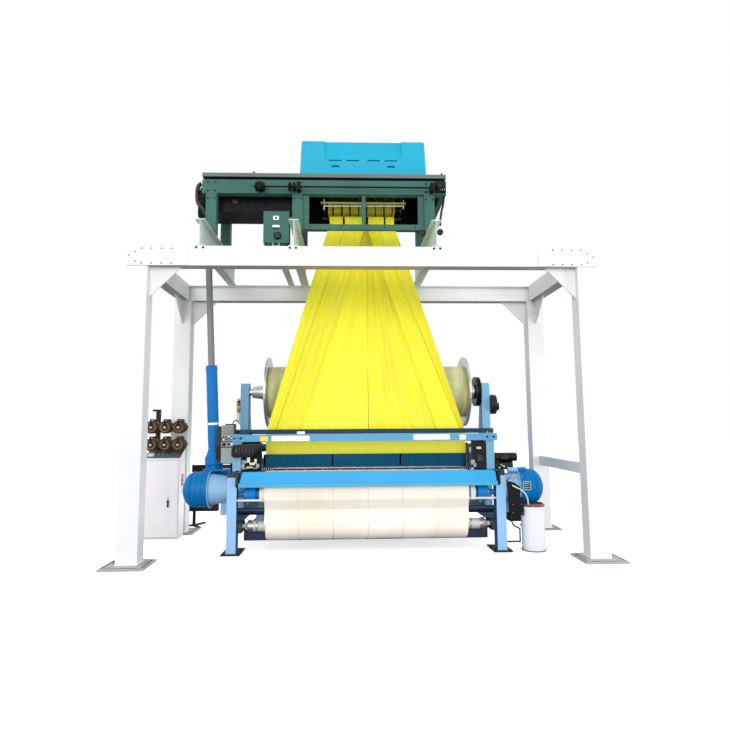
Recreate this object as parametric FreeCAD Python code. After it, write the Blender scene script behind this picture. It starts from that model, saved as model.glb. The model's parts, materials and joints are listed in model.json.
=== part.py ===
# A jacquard power loom for towelling: the loom stands inside a steel gantry, and the jacquard
# head stands on top of it and lifts the warp through a tall fan of harness cords.
# Millimetres. +X runs along the cloth to the right, +Y from the weaver to the back, +Z up.
# The origin is on the floor in the middle of the machine's footprint.

import FreeCAD, Part
import math
import os

os.makedirs("parts", exist_ok=True)

V = FreeCAD.Vector

# ---------------------------------------------------------------- clearances
bearing_gap = 0.08          # radial clearance of a shaft in its bearing
pass_gap = 2.0              # gap between a turning piece and the cloth or yarn beside it
seat_gap = 0.5              # gap between a door or knob and what it closes on

# ---------------------------------------------------------------- gantry
gantry_x = 55.0             # middle of the gantry
gantry_width = 5000.0       # over the posts
gantry_front = -1300.0      # front face of the front posts
gantry_depth = 1820.0       # front face to rear face of the posts
post_width = 220.0
post_depth = 180.0
post_wall = 8.0
beam_bottom = 3062.0
beam_height = 216.0
beam_depth = 142.0
beam_wall = 8.0
flange_thick = 12.0
base_thick = 20.0
base_side = 110.0           # base plate beyond the sides of its post
base_outward = 150.0        # base plate beyond the post, away from the gantry
base_inward = 80.0
anchor_hole_r = 13.0
anchor_edge = 40.0          # hole centre from the plate's edge
gusset_reach = 330.0
gusset_thick = 16.0
splice_length = 640.0
splice_thick = 10.0
tie_bottom = 840.0          # lower rail between the right-hand posts
tie_height = 120.0
tie_width = 60.0

cross_x = (-1695.0, -707.0, 824.0)      # three beams that carry the jacquard head
cross_height = 297.0
cross_width = 105.0
cross_web = 8.0
tray_x = -895.0             # cable tray beside the middle cross beam
tray_width = 70.0
tray_height = 40.0
tray_wall = 3.0

# ---------------------------------------------------------------- jacquard head
head_x = 60.0
head_front = -850.0
head_depth = 870.0
head_leg_width = 120.0
head_leg_depth = 110.0
head_beam_bottom = 4050.0
head_beam_height = 162.0
head_beam_depth = 100.0
head_beam_wall = 12.0
head_left_reach = 107.0     # main beams beyond the left leg's middle
head_right_reach = 199.0    # main beams beyond the right leg's middle
head_tie_width = 60.0
inner_post_width = 70.0
inner_post_depth = 60.0
mullion_width = 44.0
rail_bottom = 3635.0
rail_height = 63.0
rail_depth = 50.0
packing_height = 31.0
packing_inset = 36.0
platform_thick = 47.0
platform_lip = 10.0

hood_width = 1510.0         # at the foot
hood_taper = 23.0           # each side leans in by this much
hood_height = 488.0
hood_setback = 140.0        # front of the hood behind the platform's edge
hood_depth = 660.0
hood_wall = 5.0
hood_round = 45.0
recess_width = 921.0
recess_bottom = 245.0       # above the platform
recess_depth = 55.0
vent_centres = (-332.0, -123.0, 125.0, 329.0)
vent_width = 152.0
vent_height = 15.0
vent_drop = 13.0            # middle of the vents below the recess
grip_spacing = 661.0
grip_width = 102.0
grip_height = 30.0
grip_drop = 103.0
grip_depth = 30.0

case_bottom = 3860.0
case_wall = 8.0
case_front = -740.0
case_back = -110.0
griffe_width = 940.0
griffe_front = -700.0
griffe_depth = 540.0
griffe_bar = 24.0
griffe_height = 20.0
griffe_lug = 34.0           # end bars beyond the frame, round the guide rods
griffe_low = 3995.0
griffe_high = 4105.0
knife_count = 9
knife_width = 6.0
guide_r = 9.0
guide_bottom = 3925.0

shaft_standoff = 65.0       # cross shaft in front of the head's beam
shaft_height = 54.0         # above the beam's bottom edge
shaft_r = 10.0
shaft_left = -1200.0
shaft_length = 2150.0
coupling_x = (-1168.0, -1092.0, -790.0, -742.0, 908.0)
coupling_r = 52.0
coupling_width = 34.0
coupling_sides = 12
bearing_x = (-1130.0, -690.0, 846.0)
bearing_width = 40.0
bearing_block = 44.0        # half height of a bearing block

gearbox_width = 104.0
gearbox_depth = 280.0
gearbox_bottom = 3860.0
gearbox_height = 320.0
trough_front = -690.0       # closed case of the lifting drive, left of the hooks
trough_depth = 390.0
trough_bottom = 3885.0

control_right = -800.0
control_width = 295.0
control_bottom = 3461.0
control_height = 377.0
control_depth = 150.0
dial_left = 131.0           # dial's middle from the box's right side
dial_height = 84.0          # and above its bottom
dial_r = 33.0
dial_thick = 22.0
bezel_size = 82.0
bezel_thick = 5.0

# ---------------------------------------------------------------- harness
harness_y = -400.0
neck_x = 46.0
neck_width = 840.0
neck_top = 3945.0
neck_taper = 20.0
fan_top = 3820.0
fan_bottom = 1337.0
harness_x = 88.0
harness_width = 2360.0
harness_thick = 60.0
neck_thick = 100.0
rib_count = 30              # cord ribs across each face of the fan
rib_depth = 12.0
board_thick = 36.0          # comber board that spreads the cords
board_margin = 34.0
board_post = 20.0           # half depth of the board's posts
curtain_bottom = 420.0
spring_rail_height = 40.0

# ---------------------------------------------------------------- loom
loom_x = 80.0
loom_width = 3060.0         # over the side frames
leg_width = 105.0
leg_front = -850.0
leg_depth = 130.0
leg_top = 820.0
foot_thick = 15.0
foot_side = 50.0
foot_front = 50.0
foot_length = 340.0
side_thick = 60.0
side_bottom = 240.0
side_top = 900.0
side_step = 160.0           # length of the lower front part of the side frame
rear_leg_y = 1170.0
rear_foot_reach = 150.0
window_width = 440.0
window_height = 300.0
window_bottom = 400.0
window_first = -560.0
window_pitch = 560.0
window_round = 60.0

breast_back = -700.0
breast_front = -843.0
breast_bottom = 760.0
breast_top = 880.0
cover_front = -910.0
cover_back = -860.0
cover_bottom = 720.0
cover_top = 884.0
cover_left = -1317.0
cover_length = 2825.0
cover_slope_left = 44.0     # how far each end leans in at the top
cover_slope_right = 23.0
cover_wall = 4.0
cover_round = 40.0
bracket_width = 40.0
bracket_inset = 10.0        # of the right-hand bracket, from the cover's slope
bracket_margin = 20.0

stretcher_y = -500.0
stretcher_bottom = 88.0
stretcher_height = 112.0
stretcher_depth = 80.0

front_rail_left = -1415.0
front_rail_length = 2962.0
front_rail_bottom = 1206.0
front_rail_height = 77.0
front_rail_y = -800.0
front_rail_thick = 20.0
upper_rail_left = -1345.0
upper_rail_length = 2777.0
upper_rail_bottom = 1288.0
upper_rail_height = 49.0
upper_rail_thick = 30.0
rail_post_left = -1410.0
rail_post_right = 1426.0
rail_post_width = 90.0
rail_post_depth = 60.0

temple_r = 7.0
temple_y = -765.0
temple_z = 902.0
temple_left = -1085.0
temple_length = 2345.0

# rollers and cloth
cloth_x = 78.0
cloth_width = 2250.0
cloth_thick = 3.0
cloth_front = -853.0
cloth_bend = 4.0
fell_y = -700.0
takeup_y = -757.0
takeup_z = 632.0
takeup_r = 90.0
takeup_end_r = 52.0
takeup_overhang = 34.0      # roller beyond each edge of the cloth
takeup_ring = 57.0
takeup_end = 110.0
journal_r = 30.0
journal_depth = 40.0
guide_rod_r = 8.0
guide_rod_y = -840.0
guide_rod_z = 574.0
press_r = 25.0
press_y = -768.0
press_z = 462.0
roll_y = -690.0
roll_z = 276.0
roll_r = 150.0
roll_width = 2220.0
roll_shaft_r = 58.0
roll_shaft_left = -1240.0
roll_shaft_length = 2640.0
roll_cone = 32.0
roll_journal_r = 25.0
roll_bracket = 45.0
roller_sides = 28           # flat sides of the rollers
bar_sides = 20              # and of the fixed bars

# sley and reed
sley_pivot_y = -500.0
sley_pivot_z = 400.0
sley_shaft_r = 34.0
sley_left = -1095.0
sley_width = 2356.0
sley_beam_y = -600.0
sley_beam_depth = 70.0
sley_beam_bottom = 846.0
sley_beam_height = 73.0
sword_count = 4
sword_width = 36.0
sword_depth = 60.0
reed_top = 1055.0
reed_thick = 14.0
reed_cap = 12.0
reed_gaps = 60
reed_bars = 0.55            # part of each step that is metal

# warp beams and rear uprights
pile_y = 500.0
pile_z = 1826.0
pile_flange_r = 470.0
pile_yarn_r = 350.0
pile_left = -1181.0         # inner face of the left flange
pile_width = 2627.0         # between the flanges
flange_rim = 22.0
beam_sides = 40             # flat sides of the warp beams and their yarn
hub_r = 104.0
hub_small_r = 74.0
hub_length = 207.0
pile_shaft_r = 96.0
disc_r = 200.0
disc_thick = 60.0
disc_left = 1604.0
beam_journal_r = 45.0
ground_y = 950.0
ground_z = 560.0
ground_flange_r = 400.0
ground_yarn_r = 320.0
ground_left = -1200.0
ground_width = 2560.0
upright_width = 112.0
upright_depth = 150.0
upright_top = 1944.0
upright_wedge = 200.0       # foot of an upright behind its post
right_upright_gap = 78.0    # spacer between the right side frame and its upright
backrest_y = 1060.0
backrest_z = 1060.0
backrest_r = 55.0
tension_bar_y = 100.0
tension_bar_z = 1200.0
tension_bar_r = 30.0
arm_foot = 90.0             # half lengths of the arms that hold the two bars
arm_head = 60.0
arm_half = 40.0
sheet_thick = 4.0
heddle_z = 1005.0
sheet_split = 14.0          # height between the two warps at the harness

# rapier drives
housing_y = -700.0
housing_z = 683.0
housing_r = 195.0
housing_length = 285.0
housing_dome = 120.0
dome_flat = 0.42            # share of the dome's radius that is left flat at its end
housing_sides = 32
cone_length_left = 211.0
cone_length_right = 160.0
cone_r = 172.0
cone_end_r = 140.0
rim_r = 205.0
rim_width = 18.0
hatch_width = 78.0          # opening in the front of the right-hand drum
hatch_height = 84.0
hatch_depth = 32.0
guide_tube_r = 27.0         # tube along the top of the right-hand drum

# jacquard drive
tube_y = -480.0
tube_foot_x = -1676.0
tube_foot_z = 890.0
tube_height = 1199.0
tube_lean = 0.0496          # sideways travel for each millimetre of height
tube_r = 64.0
tube_bore = 52.0
tube_bearing = 30.0
bulge_r = 112.0
bulge_height = 101.0
tube_flange_r = 92.0
tube_flange = 14.0
tube_shoulder = 60.0        # taper from the bulge to the tube
tube_sides = 28
cardan_r = 38.0
cardan_overlap = 150.0
collar_r = 51.0
collar_height = 80.0
bevel_left = -1782.0
bevel_depth = 140.0
bevel_height = 200.0

# side units
unit_bottom = 880.0
unit_height = 320.0
unit_depth = 80.0
unit_front = -745.0
left_unit_left = -1316.0
left_unit_width = 204.0
right_unit_left = 1278.0
right_unit_width = 146.0
unit_toe = 5.0              # how far the foot of the front face is set back
unit_brow = 25.0
unit_brow_height = 40.0
notch_depth = 30.0
notch_bottom = 60.0
terminal_left = -1562.0
terminal_width = 160.0
terminal_front = -700.0
terminal_depth = 60.0
terminal_bottom = 960.0
terminal_height = 445.0
motor_z = 1006.0
motor_y = -600.0
motor_r = 49.0
motor_left = 1540.0
motor_length = 275.0
motor_drop = 91.0           # second motor below the first
light_length = 205.0
motor_band = 85.0           # smooth end of the motor, over its stand
motor_core_r = 43.0
fin_count = 5
motor_sides = 16
box_left = 1755.0
box_width = 146.0
box_bottom = 256.0
box_height = 380.0
box_y = -425.0
box_depth = 130.0
pipe_r = 9.0
letoff_z = 1650.0
letoff_r = 132.0
letoff_thick = 90.0

# stack lamp
lamp_x = -1594.0
lamp_bottom = 1429.0
lamp_r = 28.0
lamp_segment = 62.0

# feeders, cabinet, bin
stand_x = -2590.0
stand_y = 290.0
stand_width = 50.0
stand_top = 1597.0
feeder_x = (-2582.0, -2415.0, -2248.0)
feeder_z = (1368.0, 1152.0)
feeder_body_r = 52.0
feeder_body = 120.0
feeder_bar_y = 246.0
feeder_bar = 34.0
feeder_disc_r = 80.0
feeder_sides = 24
feeder_disc = 14.0
feeder_drum_r = 50.0
feeder_drum = 86.0
arm_width = 20.0            # yarn guide over each feeder
arm_thick = 10.0
arm_reach = 30.0
arm_clear = 12.0
bar_end = 50.0
stand_toe = 70.0            # how far foot and head plates reach to the left
stand_heel = 170.0
toe_thick = 12.0
head_thick = 26.0
rear_stand_width = 36.0
rear_box_left = 150.0       # the box on the rear stand, from the stand's axis
rear_box_right = 330.0
rear_box_depth = 90.0
rear_box_bottom = 205.0
rear_box_height = 239.0
rear_tray_left = 40.0
rear_tray_right = 560.0
rear_tray_depth = 60.0
rear_tray_height = 96.0
rear_foot_length = 230.0
rear_foot_width = 30.0
rear_foot_height = 22.0
rear_stand_x = -2262.0
rear_stand_y = 900.0
rear_stand_top = 836.0

cabinet_left = -2665.0
cabinet_width = 443.0
cabinet_front = 20.0
cabinet_depth = 230.0
cabinet_height = 985.0      # front edge of its sloping top
cabinet_back = 1095.0       # rear edge of its top
cabinet_edge = 18.0         # front edge of the top plate, over the door
cabinet_wall = 3.0
cabinet_top = 34.0
cabinet_plinth = 40.0
door_thick = 18.0
latch_x = -2352.0
latch_z = 464.0
latch_width = 22.0
latch_height = 78.0
latch_thick = 12.0

bin_x = 1920.0
bin_y = -800.0
bin_r = 130.0
bin_height = 470.0
bin_wall = 4.0
bin_rim = 8.0
bin_sides = 32
selvedge_r = 7.0
strand_y = -846.0
strand_rise = 59.0          # start of the strands over the drive's axis
strand_start = 24.0         # straight run at their start
strand_lift = 27.0          # gap to the front of the drum
strand_run = 66.0           # from the bin's wall to where they hang


# ---------------------------------------------------------------- shapes
def box(x0, x1, y0, y1, z0, z1):
    return Part.makeBox(x1 - x0, y1 - y0, z1 - z0, V(x0, y0, z0))


def rod_x(x0, x1, y, z, r):
    return Part.makeCylinder(r, x1 - x0, V(x0, y, z), V(1, 0, 0))


def rod_y(x, y0, y1, z, r):
    return Part.makeCylinder(r, y1 - y0, V(x, y0, z), V(0, 1, 0))


def rod_z(x, y, z0, z1, r):
    return Part.makeCylinder(r, z1 - z0, V(x, y, z0), V(0, 0, 1))


def face_of(points):
    return Part.Face(Part.makePolygon(points + [points[0]]))


def prism_x(outline, x0, x1):
    """Extrude an outline of (y, z) points along X."""
    return face_of([V(x0, y, z) for y, z in outline]).extrude(V(x1 - x0, 0, 0))


def prism_y(outline, y0, y1):
    """Extrude an outline of (x, z) points along Y."""
    return face_of([V(x, y0, z) for x, z in outline]).extrude(V(0, y1 - y0, 0))


def turned_z(profile):
    """Turn a profile of (radius, height) points about the Z axis."""
    return face_of([V(r, 0, h) for r, h in profile]).revolve(V(0, 0, 0), V(0, 0, 1), 360)


def faceted(profile, sides, x=0.0, y=0.0, z=0.0, along="z"):
    """Turn a closed profile of (radius, height) points into a solid with flat sides."""
    def corner(i, r, h):
        a = 2 * math.pi * (i + 0.5) / sides
        u, v = r * math.cos(a), r * math.sin(a)
        if along == "x":
            return V(x + h, y + u, z + v)
        if along == "-y":
            return V(x + u, y - h, z + v)
        return V(x + u, y + v, z + h)
    faces = []
    for (r0, h0), (r1, h1) in zip(profile, profile[1:] + profile[:1]):
        for i in range(sides):
            ring = []
            for j, r, h in ((i, r0, h0), (i + 1, r0, h0), (i + 1, r1, h1), (i, r1, h1)):
                point = corner(j, r, h)
                if all((point - q).Length > 1e-6 for q in ring):
                    ring.append(point)
            if len(ring) > 2:
                faces.append(face_of(ring))
    solid = Part.Solid(Part.Shell(faces))
    if solid.Volume < 0:
        solid.reverse()
    return solid.removeSplitter()


def faceted_x(profile, sides, y, z):
    """A flat-sided turned solid along X, from (x, radius) points."""
    return faceted([(r, x) for x, r in profile], sides, 0.0, y, z, "x")


def bar_x(x0, x1, y, z, r):
    """A fixed bar along X with flat sides."""
    return faceted_x([(x0, 0), (x0, r), (x1, r), (x1, 0)], bar_sides, y, z)


def faceted_tube(path, r, sides):
    """A tube of flat sides along straight runs, mitred at each corner."""
    first = (path[1] - path[0]).normalize()
    across = first.cross(V(0, 1, 0) if abs(first.y) < 0.9 else V(1, 0, 0)).normalize()
    other = first.cross(across)
    ring = [path[0] + across * (r * math.cos(a)) + other * (r * math.sin(a))
            for a in (2 * math.pi * i / sides for i in range(sides))]
    rings = [ring]
    for i in range(1, len(path)):
        run = (path[i] - path[i - 1]).normalize()
        onward = (path[i + 1] - path[i]).normalize() if i + 1 < len(path) else run
        normal = (run + onward).normalize()
        ring = [q + run * ((path[i] - q).dot(normal) / run.dot(normal)) for q in ring]
        rings.append(ring)
    faces = [face_of(rings[0]), face_of(rings[-1])]
    for a, b in zip(rings, rings[1:]):
        for i in range(sides):
            j = (i + 1) % sides
            faces.append(face_of([a[i], a[j], b[j], b[i]]))
    solid = Part.Solid(Part.Shell(faces))
    if solid.Volume < 0:
        solid.reverse()
    return solid


def i_beam_x(x0, x1, y0, y1, z0, z1, web):
    middle = (y0 + y1) / 2
    shape = box(x0, x1, y0, y1, z0, z0 + flange_thick)
    shape = shape.fuse(box(x0, x1, y0, y1, z1 - flange_thick, z1))
    return shape.fuse(box(x0, x1, middle - web / 2, middle + web / 2, z0, z1)).removeSplitter()


def i_beam_y(x0, x1, y0, y1, z0, z1, web):
    middle = (x0 + x1) / 2
    shape = box(x0, x1, y0, y1, z0, z0 + flange_thick)
    shape = shape.fuse(box(x0, x1, y0, y1, z1 - flange_thick, z1))
    return shape.fuse(box(middle - web / 2, middle + web / 2, y0, y1, z0, z1)).removeSplitter()


def strip(path, thick):
    """Outline of a sheet of even thickness that follows a path of (y, z) points."""
    left, right = [], []
    for i, (y, z) in enumerate(path):
        before = path[max(i - 1, 0)]
        after = path[min(i + 1, len(path) - 1)]
        normals = []
        for a, b in ((before, (y, z)), ((y, z), after)):
            length = math.hypot(b[0] - a[0], b[1] - a[1])
            if length > 0:
                normals.append((-(b[1] - a[1]) / length, (b[0] - a[0]) / length))
        ny = sum(n[0] for n in normals) / len(normals)
        nz = sum(n[1] for n in normals) / len(normals)
        scale = thick / 2 / (ny * ny + nz * nz)
        left.append((y + ny * scale, z + nz * scale))
        right.append((y - ny * scale, z - nz * scale))
    return left + right[::-1]


def rounded_x(shape, radius):
    """Round every straight edge that runs along X."""
    edges = [e for e in shape.Edges
             if abs(e.Vertexes[0].X - e.Vertexes[-1].X) > 1 and len(e.Vertexes) == 2
             and abs(e.Vertexes[0].Y - e.Vertexes[1].Y) < 1e-6
             and abs(e.Vertexes[0].Z - e.Vertexes[1].Z) < 1e-6]
    return shape.makeFillet(radius, edges)


def save(name, *shapes):
    solids = [s for shape in shapes for s in shape.Solids]
    whole = solids[0] if len(solids) == 1 else Part.makeCompound(solids)
    whole.exportStep("parts/" + name + ".step")
    volume = sum(s.Volume for s in solids)
    bad = "" if all(s.isValid() for s in solids) else "  NOT VALID"
    print("%-24s %3d solids %10.1f dm3%s" % (name, len(solids), volume / 1e6, bad))


# ---------------------------------------------------------------- derived places
gantry_left = gantry_x - gantry_width / 2
gantry_right = gantry_x + gantry_width / 2
gantry_back = gantry_front + gantry_depth
beam_top = beam_bottom + beam_height
cross_top = beam_top + cross_height
head_beam_top = head_beam_bottom + head_beam_height
head_back = head_front + head_depth
head_left = cross_x[0] - head_left_reach
head_right = cross_x[2] + head_right_reach
platform_bottom = head_beam_top + packing_height
platform_top = platform_bottom + platform_thick
loom_left = loom_x - loom_width / 2
loom_right = loom_x + loom_width / 2
leg_back = leg_front + leg_depth
side_inner_left = loom_left + side_thick
side_inner_right = loom_right - side_thick
leg_inner_left = loom_left + leg_width
leg_inner_right = loom_right - leg_width
rear_leg_back = rear_leg_y + leg_depth
cloth_left = cloth_x - cloth_width / 2
cloth_right = cloth_x + cloth_width / 2
sley_right = sley_left + sley_width


# ---------------------------------------------------------------- gantry
def make_post(left, front):
    """A square tube post welded to its floor plate, which has four anchor holes."""
    x0 = gantry_left if left else gantry_right - post_width
    y0 = gantry_front if front else gantry_back - post_depth
    x1 = x0 + post_width
    y1 = y0 + post_depth
    post = box(x0, x1, y0, y1, base_thick, beam_bottom)
    post = post.cut(box(x0 + post_wall, x1 - post_wall, y0 + post_wall, y1 - post_wall,
                        base_thick, beam_bottom))
    before = base_outward if front else base_inward
    behind = base_inward if front else base_outward
    px0, px1 = x0 - base_side, x1 + base_side
    py0, py1 = y0 - before, y1 + behind
    plate = box(px0, px1, py0, py1, 0, base_thick)
    for hx in (px0 + anchor_edge, px1 - anchor_edge):
        for hy in (py0 + anchor_edge, py1 - anchor_edge):
            plate = plate.cut(rod_z(hx, hy, -1, base_thick + 1, anchor_hole_r))
    return plate.fuse(post)


def make_tube_y(x0, x1, y0, y1, z0, z1, wall):
    return box(x0, x1, y0, y1, z0, z1).cut(box(x0 + wall, x1 - wall, y0, y1, z0 + wall, z1 - wall))


def make_tube_x(x0, x1, y0, y1, z0, z1, wall):
    return box(x0, x1, y0, y1, z0, z1).cut(box(x0, x1, y0 + wall, y1 - wall, z0 + wall, z1 - wall))


def make_gussets():
    """Triangular plates under the beams at each post, and two splice plates in front."""
    plates = []
    half = gusset_thick / 2
    post_mid_left = gantry_left + post_width / 2
    post_mid_right = gantry_right - post_width / 2
    for side in (-1, 1):
        post_inner = gantry_left + post_width if side < 0 else gantry_right - post_width
        toward = -side * gusset_reach
        for y in (gantry_front + beam_depth / 2, gantry_back - beam_depth / 2):
            plates.append(prism_y([(post_inner, beam_bottom), (post_inner + toward, beam_bottom),
                                   (post_inner, beam_bottom - gusset_reach)], y - half, y + half))
        middle = post_mid_left if side < 0 else post_mid_right
        for y, reach in ((gantry_front + post_depth, gusset_reach),
                         (gantry_back - post_depth, -gusset_reach)):
            plates.append(prism_x([(y, beam_bottom), (y + reach, beam_bottom),
                                   (y, beam_bottom - gusset_reach)], middle - half, middle + half))
        outer = gantry_left if side < 0 else gantry_right
        x0, x1 = sorted((outer, outer - side * splice_length))
        plates.append(box(x0, x1, gantry_front - splice_thick, gantry_front, beam_bottom, beam_top))
    return plates


def make_gantry():
    save("front_left_post", make_post(True, True))
    save("front_right_post", make_post(False, True))
    save("rear_left_post", make_post(True, False))
    save("rear_right_post", make_post(False, False))
    save("front_beam", make_tube_x(gantry_left, gantry_right, gantry_front,
                                   gantry_front + beam_depth, beam_bottom, beam_top, beam_wall))
    save("rear_beam", i_beam_x(gantry_left, gantry_right, gantry_back - beam_depth, gantry_back,
                               beam_bottom, beam_top, beam_wall))
    side_beams = []
    for left in (True, False):
        middle = gantry_left + post_width / 2 if left else gantry_right - post_width / 2
        side_beams.append(make_tube_y(middle - beam_depth / 2, middle + beam_depth / 2,
                                      gantry_front + beam_depth, gantry_back - beam_depth,
                                      beam_bottom, beam_top, beam_wall))
    right_middle = gantry_right - post_width / 2
    side_beams.append(box(right_middle - tie_width / 2, right_middle + tie_width / 2,
                          gantry_front + post_depth, gantry_back - post_depth,
                          tie_bottom, tie_bottom + tie_height))
    save("side_beams", *side_beams)
    save("corner_gussets", *make_gussets())
    beams = [i_beam_y(x - cross_width / 2, x + cross_width / 2, gantry_front, gantry_back,
                      beam_top, cross_top, cross_web) for x in cross_x]
    tray = box(tray_x - tray_width / 2, tray_x + tray_width / 2, gantry_front, gantry_back,
               beam_top, beam_top + tray_height)
    beams.append(tray.cut(box(tray_x - tray_width / 2 + tray_wall,
                              tray_x + tray_width / 2 - tray_wall, gantry_front, gantry_back,
                              beam_top + tray_wall, beam_top + tray_height)))
    save("cross_beams", *beams)


# ---------------------------------------------------------------- jacquard head
def make_channel(y0, y1, open_back):
    """Main beam of the head: a channel with its flanges turned inwards."""
    shape = box(head_left, head_right, y0, y1, head_beam_bottom, head_beam_top)
    inner0 = y0 + head_beam_wall if open_back else y0
    inner1 = y1 if open_back else y1 - head_beam_wall
    return shape.cut(box(head_left, head_right, inner0, inner1,
                         head_beam_bottom + head_beam_wall, head_beam_top - head_beam_wall))


def make_head_frame():
    solids = [make_channel(head_front, head_front + head_beam_depth, True),
              make_channel(head_back - head_beam_depth, head_back, False)]
    for x in cross_x:
        for y0 in (head_front, head_back - head_leg_depth):
            solids.append(box(x - head_leg_width / 2, x + head_leg_width / 2, y0,
                              y0 + head_leg_depth, cross_top, head_beam_bottom))
    tie_ends = (head_front + head_beam_depth, head_back - head_beam_depth)
    tie_x = (head_left, cross_x[1] - head_tie_width / 2, cross_x[2] - head_tie_width / 2,
             head_right - head_tie_width)
    for x in tie_x:
        solids.append(box(x, x + head_tie_width, tie_ends[0], tie_ends[1],
                          head_beam_bottom, head_beam_top))
    rail_top = rail_bottom + rail_height
    rail_left = cross_x[1] + head_leg_width / 2
    rail_right = cross_x[2] - head_leg_width / 2
    rail_front = head_front + 30
    solids.append(box(rail_left, rail_right, rail_front, rail_front + rail_depth,
                      rail_bottom, rail_top))
    for x in (rail_left, rail_right - inner_post_width):
        solids.append(box(x, x + inner_post_width, rail_front, rail_front + inner_post_depth,
                          rail_top, head_beam_bottom))
    solids.append(box(head_x - mullion_width / 2, head_x + mullion_width / 2, rail_front,
                      rail_front + rail_depth, rail_top, head_beam_bottom))
    save("head_frame", *solids)
    plate = box(head_left, head_right, head_front - platform_lip, head_back + platform_lip,
                platform_bottom, platform_top)
    packing = box(head_left + packing_inset, head_right - packing_inset,
                  head_front + packing_inset, head_back - packing_inset,
                  head_beam_top, platform_bottom)
    save("head_platform", plate.fuse(packing).removeSplitter())


def hood_block(shrink, front_shrink):
    """Body of the hood, drawn in by its wall and by the depth left free behind its front."""
    half_foot = hood_width / 2 - shrink
    half_top = hood_width / 2 - hood_taper - shrink
    front = head_front - platform_lip + hood_setback + front_shrink
    back = head_front - platform_lip + hood_setback + hood_depth - shrink
    foot = platform_top
    top = platform_top + hood_height - shrink
    shape = prism_y([(head_x - half_foot, foot), (head_x + half_foot, foot),
                     (head_x + half_top, top), (head_x - half_top, top)], front, back)
    upper = [e for e in shape.Edges if min(v.Z for v in e.Vertexes) > top - 1]
    return shape.makeFillet(hood_round, upper)


def make_hood():
    front = head_front - platform_lip + hood_setback
    recess_floor = platform_top + recess_bottom
    hood = hood_block(0, 0)
    # the middle of the front slopes back towards the top
    wedge = [(front - 1, recess_floor), (front, recess_floor),
             (front + recess_depth, platform_top + hood_height + 1),
             (front - 1, platform_top + hood_height + 1)]
    hood = hood.cut(prism_x(wedge, head_x - recess_width / 2, head_x + recess_width / 2))
    hood = hood.cut(hood_block(hood_wall, recess_depth + hood_wall))
    vent_z = recess_floor - vent_drop
    for x in vent_centres:
        hood = hood.cut(box(head_x + x - vent_width / 2, head_x + x + vent_width / 2,
                            front - 1, front + grip_depth, vent_z - vent_height / 2,
                            vent_z + vent_height / 2))
    grip_z = recess_floor - grip_drop
    for side in (-1, 1):
        middle = head_x + side * grip_spacing / 2
        grip = prism_y([(middle - grip_width / 2, grip_z), (middle + grip_width / 2, grip_z),
                        (middle + grip_width * 0.36, grip_z + grip_height),
                        (middle - grip_width * 0.36, grip_z + grip_height)],
                       front - 1, front + grip_depth)
        hood = hood.cut(grip)
    save("head_hood", hood)


def guide_places():
    """The four guide rods that steer the griffes, as (x, y)."""
    x0 = head_x - griffe_width / 2 - griffe_lug / 2
    x1 = head_x + griffe_width / 2 + griffe_lug / 2
    y0 = griffe_front + griffe_bar / 2
    y1 = griffe_front + griffe_depth - griffe_bar / 2
    return [(x, y) for x in (x0, x1) for y in (y0, y1)]


def make_case():
    """Dark case round the hooks: three walls and a lid, open in front and below."""
    x0 = cross_x[1] + head_tie_width / 2
    x1 = cross_x[2] - head_tie_width / 2
    top = head_beam_top
    walls = box(x0, x1, case_front, case_back, case_bottom, top)
    walls = walls.cut(box(x0 + case_wall, x1 - case_wall, case_front, case_back - case_wall,
                          case_bottom, top - case_wall))
    for x, y in guide_places():
        walls = walls.fuse(rod_z(x, y, guide_bottom, top, guide_r))
    save("hook_case", walls)


def make_griffe(name, z0):
    """A lifting frame: end bars bored for the guide rods, and knives from front to back."""
    x0 = head_x - griffe_width / 2
    x1 = head_x + griffe_width / 2
    y0, y1 = griffe_front, griffe_front + griffe_depth
    z1 = z0 + griffe_height
    frame = box(x0 - griffe_lug, x1 + griffe_lug, y0, y1, z0, z1)
    pitch = griffe_width / knife_count
    for i in range(knife_count):
        left = x0 + i * pitch + knife_width / 2
        frame = frame.cut(box(left, left + pitch - knife_width, y0 + griffe_bar,
                              y1 - griffe_bar, z0, z1))
    for side in (-1, 1):
        outer = x0 - griffe_lug if side < 0 else x1
        frame = frame.cut(box(outer, outer + griffe_lug, y0 + griffe_bar * 1.5,
                              y1 - griffe_bar * 1.5, z0, z1))
    for x, y in guide_places():
        frame = frame.cut(rod_z(x, y, z0 - 1, z1 + 1, guide_r + bearing_gap))
    save(name, frame)


def make_head_drive():
    shaft_y = head_front - shaft_standoff
    shaft_z = head_beam_bottom + shaft_height
    shaft = rod_x(shaft_left, shaft_left + shaft_length, shaft_y, shaft_z, shaft_r)
    for x in coupling_x:
        shaft = shaft.fuse(faceted([(0, 0), (coupling_r * 0.7, 0),
                                    (coupling_r, coupling_width / 4),
                                    (coupling_r, coupling_width * 3 / 4),
                                    (coupling_r * 0.7, coupling_width), (0, coupling_width)],
                                   coupling_sides, x - coupling_width / 2, shaft_y, shaft_z, "x"))
    save("head_shaft", shaft)
    solids = []
    for x in bearing_x:
        block = box(x - bearing_width / 2, x + bearing_width / 2, shaft_y - bearing_block,
                    head_front, shaft_z - bearing_block, shaft_z + bearing_block)
        block = block.cut(rod_x(x - bearing_width, x + bearing_width, shaft_y, shaft_z,
                                shaft_r + bearing_gap))
        solids.append(block)
    gearbox = box(head_left - gearbox_width, head_left, tube_y - gearbox_depth / 2,
                  tube_y + gearbox_depth / 2, gearbox_bottom, gearbox_bottom + gearbox_height)
    solids.append(rounded_x(gearbox, 40))
    solids.append(box(head_left + head_tie_width, cross_x[1] - head_tie_width / 2, trough_front,
                      trough_front + trough_depth, trough_bottom, head_beam_top))
    save("head_drive_boxes", *solids)


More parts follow.
